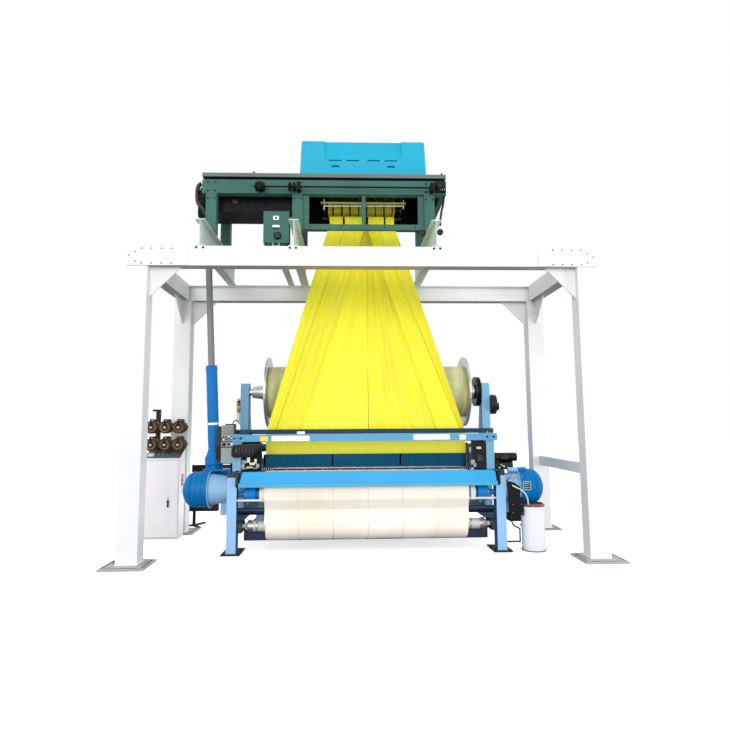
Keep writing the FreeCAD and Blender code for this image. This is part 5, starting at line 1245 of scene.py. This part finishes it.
# the loom's front: reed dents and bands, rail plates, the cover's hem, and bolts on legs and sides
reed = {
    "left": -1095,
    "right": 1261,
    "firstDent": -1089,
    "dents": 903,
    "pitch": 2.6,
    "y": -600,
    "z": 924,
    "high": 126,
    "bands": ((919, 930), (1042, 1056)),
    "posts": (-1084, -302, 474, 1250),
    "boltFirst": -1020,
    "boltPitch": 200,
    "bolts": 12,
}
dent = Shape()
dent.prism([(-5.5, 0), (5.5, 0), (5.5, reed["high"]), (-5.5, reed["high"])], "x", -1.1, 1.1)
spots = [(reed["firstDent"] + reed["pitch"] * i, reed["y"], reed["z"]) for i in range(reed["dents"])]
repeat("ReedDents", dent, spots, "reed_teal", body="sley")

bands = Shape()
for z0, z1 in reed["bands"]:
    bands.box(reed["left"], reed["right"], -606, -590, z0, z1)
for x in reed["posts"]:
    bands.box(x - 11, x + 11, -607, -605, 922, 1052, 1)
bands.box(reed["left"], reed["right"], -635.5, -634, 896, 908, 2)
for i in range(reed["bolts"]):
    bands.turned([(0, 9), (2, 9), (3, 7), (3, 0)],
                 (reed["boltFirst"] + i * reed["boltPitch"], -634, 880), "Y", 6, 3)
bands.make("ReedBands", ["reed_teal", "divider_brown", "bright_steel", "bolt_zinc"], body="sley", bevel=1)


def rounded(x0, x1, z0, z1, r=6):
    # the corners of a plate in (x, z), each turned in four short steps
    points = []
    for cx, cz, a in ((x1 - r, z0 + r, -90), (x1 - r, z1 - r, 0), (x0 + r, z1 - r, 90),
                      (x0 + r, z0 + r, 180)):
        for i in range(5):
            t = math.radians(a + i * 22.5)
            points.append((cx + r * math.cos(t), cz + r * math.sin(t)))
    return points


def block(shape, x, z, wide, high, y0, y1, finish):
    # a rounded block round (x, z); wide and high are half sizes
    shape.prism(rounded(x - wide, x + wide, z - high, z + high, 5), "y", y0, y1, finish)


railPlates = {
    "face": -800,
    "thick": 1.6,
    "plates": ((-1107, -1018, 1209, 1264, 1), (-980, -559, 1211, 1269, 0), (602, 1013, 1216, 1275, 0),
               (1121, 1194, 1215, 1271, 0)),      # x0, x1, z0, z1 and finish
    "bolts": (-1392, -1320, 1436, 1508),
}
face = railPlates["face"]
labels = Shape()
for x0, x1, z0, z1, finish in railPlates["plates"]:
    front = face - railPlates["thick"]
    labels.prism(rounded(x0, x1, z0, z1), "y", front, face, finish)
    for x in (x0 + 8, x1 - 8):
        for z in (z0 + 8, z1 - 8):
            labels.turned([(0, 3.4), (1.2, 3.2), (2.0, 1.8), (2.1, 0)], (x, front, z), "Y", 8, 2)
labels.prism(rounded(-700, -611, 1289, 1316, 4), "y", -783, -780)
for x in railPlates["bolts"]:
    labels.turned([(0, 13), (2, 13), (2, 9), (9, 9), (11, 7), (11, 0)], (x, face, 1244), "Y", 6, 3)
labels.turned([(0, 9), (14, 9), (16, 14), (26, 14), (29, 10), (29, 0)], (-1208, -790, 1283), "z", 16, 3)
labels.make("RailPlates", ["plate_white", "plate_yellow", "bolt_zinc", "knob_black"], angle=40)

cover = {"left": -1317, "right": 1508, "face": -910, "hem": (722, 760)}
hem = Shape()
hem.box(cover["left"], cover["right"], cover["face"] - 1.6, cover["face"], *cover["hem"])
hem.tube([(x, cover["face"] - 0.5, cover["hem"][1] + 2) for x in (cover["left"], cover["right"])], 3.2, 8, 1)
for x in (cover["left"] + 9, cover["right"] - 9):
    hem.box(x - 9, x + 9, cover["face"] - 1.8, -862, 880, 886, 1)
hem.make("CoverHem", ["cover_low", "cover_blue"], angle=40)

loomBolts = {
    "legs": ((-1450, -1345), (1505, 1610)),
    "footTop": 15,
    "frontFeet": (-870, -690),
    "rearFeet": (1150, 1250, 1400),
    "sides": ((-1450, "-x"), (1610, "+x")),
    "sideRows": (-640, -160, 240, 760, 1100),
    "hub": (300, 560),
}
spots = []
for x0, x1 in loomBolts["legs"]:
    spots += [flat(x, y, loomBolts["footTop"], "+z", 1.1) for x in (x0 - 26, x1 + 26)
              for y in loomBolts["frontFeet"]]
    spots += [flat(x, y, loomBolts["footTop"], "+z", 1.1) for y in loomBolts["rearFeet"]
              for x in (x0 - 22, x1 + 22)]
for x, facing in loomBolts["sides"]:
    spots += [flat(x, y, z, facing, 1.2) for y in loomBolts["sideRows"] for z in (330, 820)]
    spots += [flat(x, y, z, facing) for y, z in around(6, 150, *loomBolts["hub"], 30)]
repeat("LoomBolts", hexBolt(20, 11, 15), spots, "bolt_dark")
say("loom front")

# the rollers: blue ends with grooves, pale rings and bolted collars
takeup = {
    "y": -757,
    "z": 632,
    "radius": 92.5,
    "ends": ((-1250, -1141), (1305, 1415)),
    "paleRings": (-1101, 1225),
    "caps": (-1262, 1420),
}
ends = Shape()
place = (takeup["y"], takeup["z"])
for x0, x1 in takeup["ends"]:
    high = takeup["radius"]
    ends.turned([(0, 84), (3, high), (x1 - x0 - 3, high), (x1 - x0, 84)], (x0,) + place, "x", 40)
    for i in range(5):
        # grip rings
        x = lerp(x0 + 6, x1 - 6, (i + 0.5) / 5)
        wide = (x1 - x0 - 12) / 5 * 0.34
        ends.turned([(-wide, high), (-wide * 0.5, high + 1.6), (wide * 0.5, high + 1.6), (wide, high)],
                    (x,) + place, "x", 40)
for x in takeup["paleRings"]:
    ends.turned([(0, 90), (2, 94), (16, 94), (20, 91.5), (34, 91.5), (38, 94), (52, 94), (54, 90)],
                (x,) + place, "x", 40, 1)
for x in takeup["caps"]:
    ends.turned([(0, 40), (0, 62), (10, 66), (14, 60), (14, 40)], (x,) + place, "x", 24, 2)
    for y, z in around(6, 50, *place):
        ends.turned([(-4, 6), (18, 6), (18, 0)], (x, y, z), "x", 6, 2)
ends.make("TakeupEnds", ["roller_blue", "yarn_cream", "bolt_zinc"], body="takeup_roller")

shaft = Shape()
for x, axis in ((-1240, "x"), (1400, "X")):
    shaft.turned([(0, 57), (0, 66), (14, 70), (30, 70), (34, 62), (60, 62)], (x, rollY, rollZ), axis, 32)
    for y, z in around(8, 47, rollY, rollZ):
        shaft.stud((x, y, z), axis.swapcase(), 6, 6, finish=1)
for x in (-1150, 1230):
    shaft.turned([(0, 60), (3, 63), (17, 63), (20, 60)], (x, rollY, rollZ), "x", 32, 1)
shaft.make("RollShaftCollars", ["bright_steel", "bolt_zinc"], body="cloth_roll")
say("rollers")

# the drives: bolted flange rings and ribs, the hatch, and the bands of the leaning tube
drums = {
    "y": -700,
    "z": 683,
    "radius": 194,
    "sides": ((-1661, -1), (1770, 1)),      # flange in x, and the way out
    "bolts": 14,
    "boltCircle": 186,
    "squeeze": 0.995,       # the bolts' circle is this much narrower along y
    "ribs": 3,
}
rims = Shape()
for x, out in drums["sides"]:
    y, z, radius = drums["y"], drums["z"], drums["radius"]
    rims.turned([(-7, radius), (-7, radius + 11), (7, radius + 11), (7, radius)], (x, y, z), "x", 48)
    for boltY, boltZ in around(drums["bolts"], drums["boltCircle"], y, z, 12):
        rims.turned([(0, 8), (12, 8), (14, 6), (14, 0)], (x, lerp(y, boltY, drums["squeeze"]), boltZ),
                    "X" if out < 0 else "x", 6, 1)
    for i in range(drums["ribs"]):
        rims.turned([(-3, radius + 1.3), (-1, radius + 4.5), (1, radius + 4.5), (3, radius + 1.3)],
                    (x + out * (60 + i * 62), y, z), "x", 48)
rims.make("DriveRims", ["drive_blue", "bolt_zinc"])

hatchSize = {"x": (1790, 1880), "z": (662, 758), "rim": 10, "face": -905}
hatch = Shape()
(x0, x1), (z0, z1), rim = hatchSize["x"], hatchSize["z"], hatchSize["rim"]
outer = rounded(x0, x1, z0, z1, 8)
opening = rounded(x0 + rim, x1 - rim, z0 + rim, z1 - rim, 6)
for k in range(len(outer)):
    j = (k + 1) % len(outer)
    n = hatch.add([(x, hatchSize["face"], z) for x, z in (outer[k], outer[j], opening[j], opening[k])])
    hatch.face([n, n + 1, n + 2, n + 3])
# the near-black plate behind the opening is painted shade for the hollow inside the hatch
hatch.prism(opening, "y", -899, -889, 1)
for z in (690, 712, 734):
    hatch.box(1806, 1864, -902, -899, z - 6, z + 6, 2)
for i in range(3):
    hatch.stud((1816 + i * 19, -902, 712), "Y", 5, 5, 12, 3)
hatch.make("HatchParts", ["cone_blue", "hole_dark", "bright_steel", "yarn_orange"])

leaningTube = {
    "axis": (-0.0496, 0, 0.99877),
    "foot": (-1676, -480, 890),
    # height along the tube, profile of heights and radii, and finish
    "sleeves": ((505, [(0, 64), (0.5, 66), (25, 66), (25.5, 64)], 0),
                (1150, [(0, 64), (1, 68), (20, 68), (22, 64)], 1),
                (1196, [(0, 68), (2, 68), (3, 40)], 1),
                (190, [(0, 64), (6, 74), (22, 74), (28, 64)], 1),
                (10, [(0, 78), (3, 90), (17, 90), (20, 78)], 1)),
}
axis, foot = Vector(leaningTube["axis"]).normalized(), Vector(leaningTube["foot"])
side = axis.orthogonal().normalized()
over = axis.cross(side)
band = Shape()
for along, profile, finish in leaningTube["sleeves"]:
    band.grid([ringPoints(foot + axis * (along + h), side, over, r, 32, 33) for h, r in profile], finish)
for at in ringPoints(foot + axis * 30, side, over, 84, 8, 8):
    band.turned([(0, 7), (9, 7), (10, 5), (10, 0)], at, "z", 6, 2)
band.make("TubeBands", ["plate_white", "tube_blue", "bolt_zinc"], angle=40)
say("drives")

# beside the reed: the black weaving units with their guides, and the ends of the cover
unitParts = {
    # outlines in (x, z), each with its front and its rear in y
    "leftCase": ([(-1412, 1052), (-1380, 1033), (-1180, 1052), (-1120, 1100), (-1072, 1184),
                  (-1080, 1192), (-1396, 1176), (-1414, 1120)], -838, -806),
    "leftCover": ([(-1398, 1066), (-1376, 1048), (-1190, 1066), (-1132, 1108), (-1098, 1168),
                   (-1384, 1160)], -846, -838),
    "rightCase": ([(1192, 860), (1424, 852), (1430, 1180), (1300, 1196), (1206, 1150), (1190, 1020)],
                  -776, -746),
    "slots": 6,
    "slotPitch": 36,
    # x, z, half width and half height of each small part on the left
    "left": ((-1286, 984, 26, 18), (-1238, 1004, 18, 30), (-1196, 962, 30, 14), (-1160, 992, 14, 26),
             (-1300, 936, 20, 24), (-1224, 924, 34, 10), (-1136, 940, 18, 22)),
    # the same on the right, with the finish
    "right": ((1238, 1100, 12, 30, 2), (1268, 962, 22, 26, 2), (1290, 930, 16, 20, 2),
              (1352, 1010, 30, 34, 1), (1340, 1120, 26, 14, 3), (1256, 890, 20, 12, 3)),
    # points, radius and finish of each hose
    "hoses": (([(-1100, -780, 1150), (-1088, -770, 1060), (-1092, -760, 980), (-1108, -750, 920)], 9, 1),
              ([(-1306, -768, 900), (-1210, -778, 934), (-1136, -770, 908)], 5, 3),
              ([(1216, -782, 1170), (1226, -800, 1080), (1222, -800, 960), (1250, -790, 890)], 7, 1)),
}
units = Shape()
for shell in ("leftCase", "leftCover"):
    outline, front, rear = unitParts[shell]
    units.prism(outline, "y", front, rear)
for i in range(unitParts["slots"]):
    x = -1366 + i * unitParts["slotPitch"]
    units.box(x, x + 16, -850, -846, 1084, 1150, 1)
leftHose, strand, rightHose = unitParts["hoses"]
cableRun(units, leftHose[0], leftHose[1], 8, leftHose[2])
for x, z, wide, high in unitParts["left"]:
    block(units, x, z, wide, high, -762, -745, 2 if (x + z) % 3 else 3)
    units.turned([(0, 7), (5, 7), (6, 4), (6, 0)], (x, -762, z), "Y", 10, 3)
cableRun(units, strand[0], strand[1], 8, strand[2])
outline, front, rear = unitParts["rightCase"]
units.prism(outline, "y", front, rear)
for x, z, wide, high, finish in unitParts["right"]:
    block(units, x, z, wide, high, -790, -776, finish)
cableRun(units, rightHose[0], rightHose[1], 8, rightHose[2])
units.make("WeavingUnits", ["knob_black", "cable_black", "terminal_grey", "bolt_zinc"], bevel=2)

wings = Shape()
for x0, x1 in ((-1352, -1319), (1510, 1543)):
    wings.prism([(-905, 730), (-846, 712), (-846, 892), (-858, 898), (-884, 888), (-905, 760)],
                "x", x0, x1)
wings.make("CoverWings", "knob_black", bevel=3)

guideRod = {"y": -840, "z": 574, "sleeves": ((-1344, -1049), (1205, 1504))}
rods = Shape()
for x0, x1 in guideRod["sleeves"]:
    rods.turned([(0, 8), (0, 12.5), (x1 - x0, 12.5), (x1 - x0, 8)], (x0, guideRod["y"], guideRod["z"]),
                "x", 20)
    for x in (x0 + 8, x1 - 20):
        rods.turned([(0, 12), (0, 17), (12, 17), (12, 12)], (x, guideRod["y"], guideRod["z"]), "x", 20, 1)
rods.make("GuideRodSleeves", ["yarn_cream", "bolt_zinc"])

# rings that hold the cloth's edges at the temple
temple = {"firsts": (-1084, 1136), "rings": 11, "pitch": 11.4, "y": -765, "z": 902}
grips = Shape()
for x0 in temple["firsts"]:
    for i in range(temple["rings"]):
        place = (x0 + i * temple["pitch"], temple["y"], temple["z"])
        grips.turned([(0, 12), (3, 17), (6, 17), (9, 12)], place, "x", 16, i % 2)
grips.make("TempleRings", ["bright_steel", "dark_case"])
say("weaving units")

# the weft feeders: turning faces, housings behind them, arms and yarn
feeder = {"columns": (-2582, -2415, -2248), "rows": (1368, 1152), "y": 12}
feed = Shape()
for number, (x, z) in enumerate((x, z) for z in feeder["rows"] for x in feeder["columns"]):
    place = (x, feeder["y"], z)
    disc = Shape()
    disc.turned([(-1, 20), (-1, 77), (2, 79.4), (5, 79.4), (9, 72), (10, 58), (13, 56), (13, 20)],
                place, "Y", 36)
    for r, finish in ((30, 1), (50, 2), (66, 1)):
        disc.turned([(8, r - 3.5), (14.5, r - 2), (14.5, r + 2), (8, r + 3.5)], place, "Y", 36, finish)
    disc.turned([(10, 16), (17, 15), (19, 9), (19, 0)], place, "Y", 24, 2)
    disc.turned([(2, 50), (3, 60), (30, 61), (60, 61), (78, 60), (80, 50)], (x, 18, z), "y", 36, 3)
    disc.make(f"FeederFace{number + 1}", ["stand_black", "yarn_orange", "feeder_gold", "yarn_orange"],
              body=f"feeder_disc_{number + 1}", angle=40)
    feed.turned([(0, 30), (0, 64), (10, 70), (60, 70), (74, 60), (80, 34), (80, 0)], (x, 116, z), "y", 28)
    feed.box(x - 26, x + 26, 130, 190, z + 60, z + 92)
    feed.box(x - 12, x + 12, 112, 128, z + 74, z + 84, 1)
    cableRun(feed, [(x, 120, z + 78), (x, 40, z + 92), (x, 0, z + 88), (x, -14, z + 60), (x, -16, z + 8)],
             4, 6, 1)
    feed.turned([(0, 4), (0, 12), (4, 12), (4, 4)], (x, -12, z), "Y", 16, 2)
feed.make("FeederHousings", ["stand_black", "bolt_zinc", "plate_white"], bevel=2)
say("feeders")

# the cabinet: seams, hinges, knob, grille, and the lip and fittings of its sloping roof
cabinet = {
    "door": (-2658, -2229, 24, 960),
    "face": 20,
    "seam": 1.5,
    "roofLow": 985,
    "louvres": 9,
    "fittings": ((-2640, -2560, 60), (-2520, -2490, 90), (-2470, -2440, 90), (-2420, -2390, 90)),
}
case = Shape()
x0, x1, z0, z1 = cabinet["door"]
face, seam = cabinet["face"], cabinet["seam"]
for x in (x0, x1):
    case.box(x - seam, x + seam, face - 1.4, face, z0, z1, 1)
for z in (z0, z1):
    case.box(x0, x1, face - 1.4, face, z - seam, z + seam, 1)
for z in (140, 740):
    case.turned([(0, 7), (64, 7), (66, 5), (66, 0)], (-2656, 15, z), "z", 12, 2)
case.turned([(0, 13), (3, 13), (5, 10), (5, 0)], (-2352, face, 500), "Y", 20, 2)
for i in range(cabinet["louvres"]):
    case.box(-2222.5, -2219.5, 90, 200, 640 + i * 16, 648 + i * 16, 1)
case.prism([(22, 985.4), (250, 1094.6), (248, 1098), (20, 989)], "x", -2663, -2224, 3)
for x0, x1, y0 in cabinet["fittings"]:
    front = cabinet["roofLow"] + (y0 - face) * roofSlope
    rear = cabinet["roofLow"] + (y0 + 60 - face) * roofSlope
    case.prism([(y0, front + 3), (y0 + 60, rear + 3), (y0 + 58, rear + 9), (y0 - 2, front + 9)],
               "x", x0, x1, 4 if x0 < -2600 else 2)
case.make("CabinetTrim", ["shaft_grey", "hole_dark", "bolt_zinc", "console_grey", "plate_white"], bevel=0.8)
say("cabinet")

# the waste bin: rim, hoops, foot and the liner that hangs over the rim
wasteBin = {
    "x": 1920,
    "y": -800,
    "hoops": (60, 400),
    # height and radius of the liner's rings
    "liner": ((300, 110), (380, 118), (455, 125.5), (470, 127), (486, 129), (500, 122), (512, 108)),
    "creased": 460,     # the liner creases above this height
    "ragged": 480,      # its edge is ragged above this height
}
binX, binY = wasteBin["x"], wasteBin["y"]
binTop = Shape()
binTop.turned([(462, 132.5), (466, 136.5), (474, 136.5), (478, 133), (478, 127), (462, 124)],
              (binX, binY, 0), "z", 48)
rng = random.Random(12)
rows = []
for h, r in wasteBin["liner"]:
    row = []
    for k in range(48):
        t = k * math.pi / 24
        x = binX + (r + rng.uniform(-2.5, 2.5) * (h > wasteBin["creased"])) * math.cos(t)
        y = binY + (r + rng.uniform(-2.5, 2.5) * (h > wasteBin["creased"])) * math.sin(t)
        row.append((x, y, h + rng.uniform(-5, 5) * (h > wasteBin["ragged"])))
    rows.append(row + row[:1])
binTop.grid(rows, 1)
for z in wasteBin["hoops"]:
    binTop.turned([(0, 130), (2, 132.4), (6, 132.4), (8, 130)], (binX, binY, z), "z", 48)
binTop.turned([(0, 126), (0, 133), (12, 133), (14, 130)], (binX, binY, 1), "z", 48, 2)
binTop.make("BinRim", ["bin_white", "liner_brown", "cable_grey"], angle=40)
say("bin")

# the selvedge strands, cut from the cloth's edge, that run down into the bin
selvedge = {"strands": 5, "spread": 4.2, "radius": 2.4, "lay": 0.09}
yarnRoute = [(1610, -846, 742), (1634, -846, 742), (1701.2, -892, 698), (1772.45, -922, 664),
             (1823.75, -918, 606), (1843, -896, 534), (1856, -872, 440), (1851, -848, 249.1),
             (1850, -826, 11)]


def strandsAlong(shape, line):
    # thin strands lying side by side round the line, turning slowly round it
    count = selvedge["strands"]
    strands = [[] for _ in range(count)]
    walked = 0.0
    for i, point in enumerate(line):
        before, after = line[max(i - 1, 0)], line[min(i + 1, len(line) - 1)]
        ahead = (after - before).normalized()
        side = ahead.cross(Vector((0.3, 1, 0.2))).normalized()
        over = ahead.cross(side)
        walked += (point - before).length
        for n in range(count):
            t = 2 * math.pi * n / count + walked / selvedge["lay"]
            strands[n].append(point * 1000 + selvedge["spread"] * (math.cos(t) * side + math.sin(t) * over))
    for strand in strands:
        shape.tube(strand, selvedge["radius"], 6)


yarnLine = splineLine("SelvedgeLine", yarnRoute)
strands = Shape()
strandsAlong(strands, yarnLine)
yarn = strands.make("SelvedgeYarn", "thread_white", angle=80, replaces=["selvedge_yarn"])
say("selvedge")

# the operator's terminal: case, screen, keys, knobs, side boxes and a short cable
terminal = {
    "face": -708,
    "firstKey": (-1528, 1230),
    "keyPitch": (30, 17),
    "buttons": ((-1470, 2), (-1434, 3)),      # x and finish
}
panel = Shape()
face = terminal["face"]
panel.prism(rounded(-1548, -1416, 1212, 1392, 10), "y", face, -700)
panel.prism(rounded(-1538, -1426, 1284, 1380, 5), "y", face - 3, face, 1)
for row in range(3):
    for column in range(4):
        x = terminal["firstKey"][0] + column * terminal["keyPitch"][0]
        z = terminal["firstKey"][1] + row * terminal["keyPitch"][1]
        panel.prism(rounded(x - 10, x + 10, z - 6, z + 6, 3), "y", face - 4, face,
                    2 if (row + column) % 4 else 3)
panel.box(-1556, -1410, -706, -700, 1150, 1204)
panel.turned([(0, 22), (6, 22), (8, 16), (26, 14), (30, 8), (30, 0)], (-1524, -706, 1178), "Y", 24, 4)
for x, finish in terminal["buttons"]:
    panel.turned([(0, 15), (4, 15), (6, 11), (14, 10), (14, 0)], (x, -706, 1178), "Y", 20, finish)
panel.box(-1556, -1410, -704, -700, 968, 1140)
for z in (990, 1118):
    for x in (-1544, -1422):
        panel.turned([(0, 6), (4, 6), (5, 4), (5, 0)], (x, -704, z), "Y", 6, 5)
panel.box(-1410, -1392, -744, -690, 1190, 1400, 2)
panel.box(-1610, -1562, -700, -650, 1000, 1380, 2)
cableRun(panel, [(-1430, -690, 1400), (-1430, -690, 1440), (-1380, -690, 1446), (-1350, -700, 1400)],
         6, 8, 2)
panel.make("TerminalPanel", ["terminal_grey", "screen_grey", "knob_black", "plate_white", "dial_red",
                             "bolt_zinc"], bevel=1)

lampStack = {"x": -1594, "y": 500, "radius": 28.2, "lenses": (1560, 1606, 1652), "cap": 1698, "foot": 1430}
lamp = Shape()
x, y, radius = lampStack["x"], lampStack["y"], lampStack["radius"]
for finish, z in enumerate(lampStack["lenses"]):
    lamp.turned([(0, radius), (2, 30), (42, 30), (44, radius)], (x, y, z), "z", 24, finish)
    lamp.turned([(-2, radius), (-2, 31), (2, 31), (2, radius)], (x, y, z), "z", 24, 3)
lamp.turned([(0, radius), (0, 31), (8, 31), (20, 20), (24, 0)], (x, y, lampStack["cap"]), "z", 24, 3)
lamp.turned([(0, radius), (0, 33), (120, 33), (124, radius)], (x, y, lampStack["foot"]), "z", 24, 4)
lamp.make("LampLenses", ["lamp_green", "lamp_amber", "lamp_red", "knob_black", "band_white"])

# the motors by the right-hand drive, with cooling fins, covers, cables and connectors
motors = {
    "y": -600,
    "bodies": ((1006, 1560, 1800), (915, 1560, 1740)),      # z and the ends in x
    "finPitch": 14,
    "connectors": ((1548, 912), (1578, 900), (1600, 926), (1626, 908)),
}
motor = Shape()
for z, x0, x1 in motors["bodies"]:
    for i in range(int((x1 - x0) / motors["finPitch"])):
        motor.turned([(0, 49), (0, 52.5), (3, 52.5), (3, 49)], (x0 + i * motors["finPitch"], motors["y"], z),
                     "x", 24)
    motor.turned([(0, 30), (0, 51), (14, 51), (20, 40), (20, 0)], (x1, motors["y"], z), "x", 24)
    motor.box(x0 + 60, x0 + 150, -668, -640, z - 24, z + 24)
motor.prism([(1622, 760), (1704, 742), (1770, 690), (1798, 630), (1798, 392), (1652, 392), (1640, 560)],
            "y", -880, -836, 1)
motor.box(1664, 1786, -886, -880, 404, 520, 1)
for x in (1676, 1774):
    for z in (416, 508):
        motor.stud((x, -886, z), "Y", 5, 3, 10, 2)
cableRun(motor, [(1630, -820, 760), (1660, -850, 800), (1740, -856, 812), (1800, -850, 800)], 8, 8, 2)
cableRun(motor, [(1520, -770, 905), (1560, -790, 925), (1610, -800, 900), (1640, -790, 884)], 9, 8, 1)
for x, z in motors["connectors"]:
    motor.box(x - 9, x + 9, -760, -736, z - 10, z + 10, 3 if x % 4 else 2)
motor.make("DriveMotorParts", ["motor_black", "knob_black", "bolt_zinc", "plate_white"], bevel=1)

letOffCase = {"hoops": (1802, 1846), "bolts": 8, "face": 1888, "y": 500, "z": 1650}
letOff = Shape()
y, z = letOffCase["y"], letOffCase["z"]
for x in letOffCase["hoops"]:
    letOff.turned([(0, 132), (0, 135), (8, 135), (8, 132)], (x, y, z), "x", 32)
for boltY, boltZ in around(letOffCase["bolts"], 96, y, z, 22):
    letOff.stud((letOffCase["face"], boltY, boltZ), "x", 7, 8, 6, 1)
letOff.make("LetOffBolts", ["knob_black", "bolt_zinc"])
say("terminal and motors")


def beamTrim(name, body, beam, flanges, beads, sides, boltCircle, bolt):
    # rim beads and hub bolts on the flanges of a beam; bolt is its radius and its height
    trim = Shape()
    y, z = beam["y"], beam["z"]
    radius, high = bolt
    for x, axis in zip(flanges, ("X", "x")):
        for r in beads:
            trim.turned([(-3, r - 6), (6, r - 4), (6, r + 2), (-3, r + 3)], (x, y, z), axis, sides)
        for boltY, boltZ in around(8, boltCircle, y, z):
            trim.turned([(0, radius), (high, radius), (high + 2, radius - 3), (high + 2, 0)],
                        (x, boltY, boltZ), axis, 6, 1)
    trim.make(name, ["beam_metal", "bolt_zinc"], body=body)


beamTrim("PileBeamTrim", "pile_beam", pileBeam, (-1181, 1446), (466, 380, 150), 72, 120, (12, 16))
beamTrim("GroundBeamTrim", "ground_beam", groundBeam, (-1200, 1360), (396, 130), 64, 104, (11, 15))
say("beams")
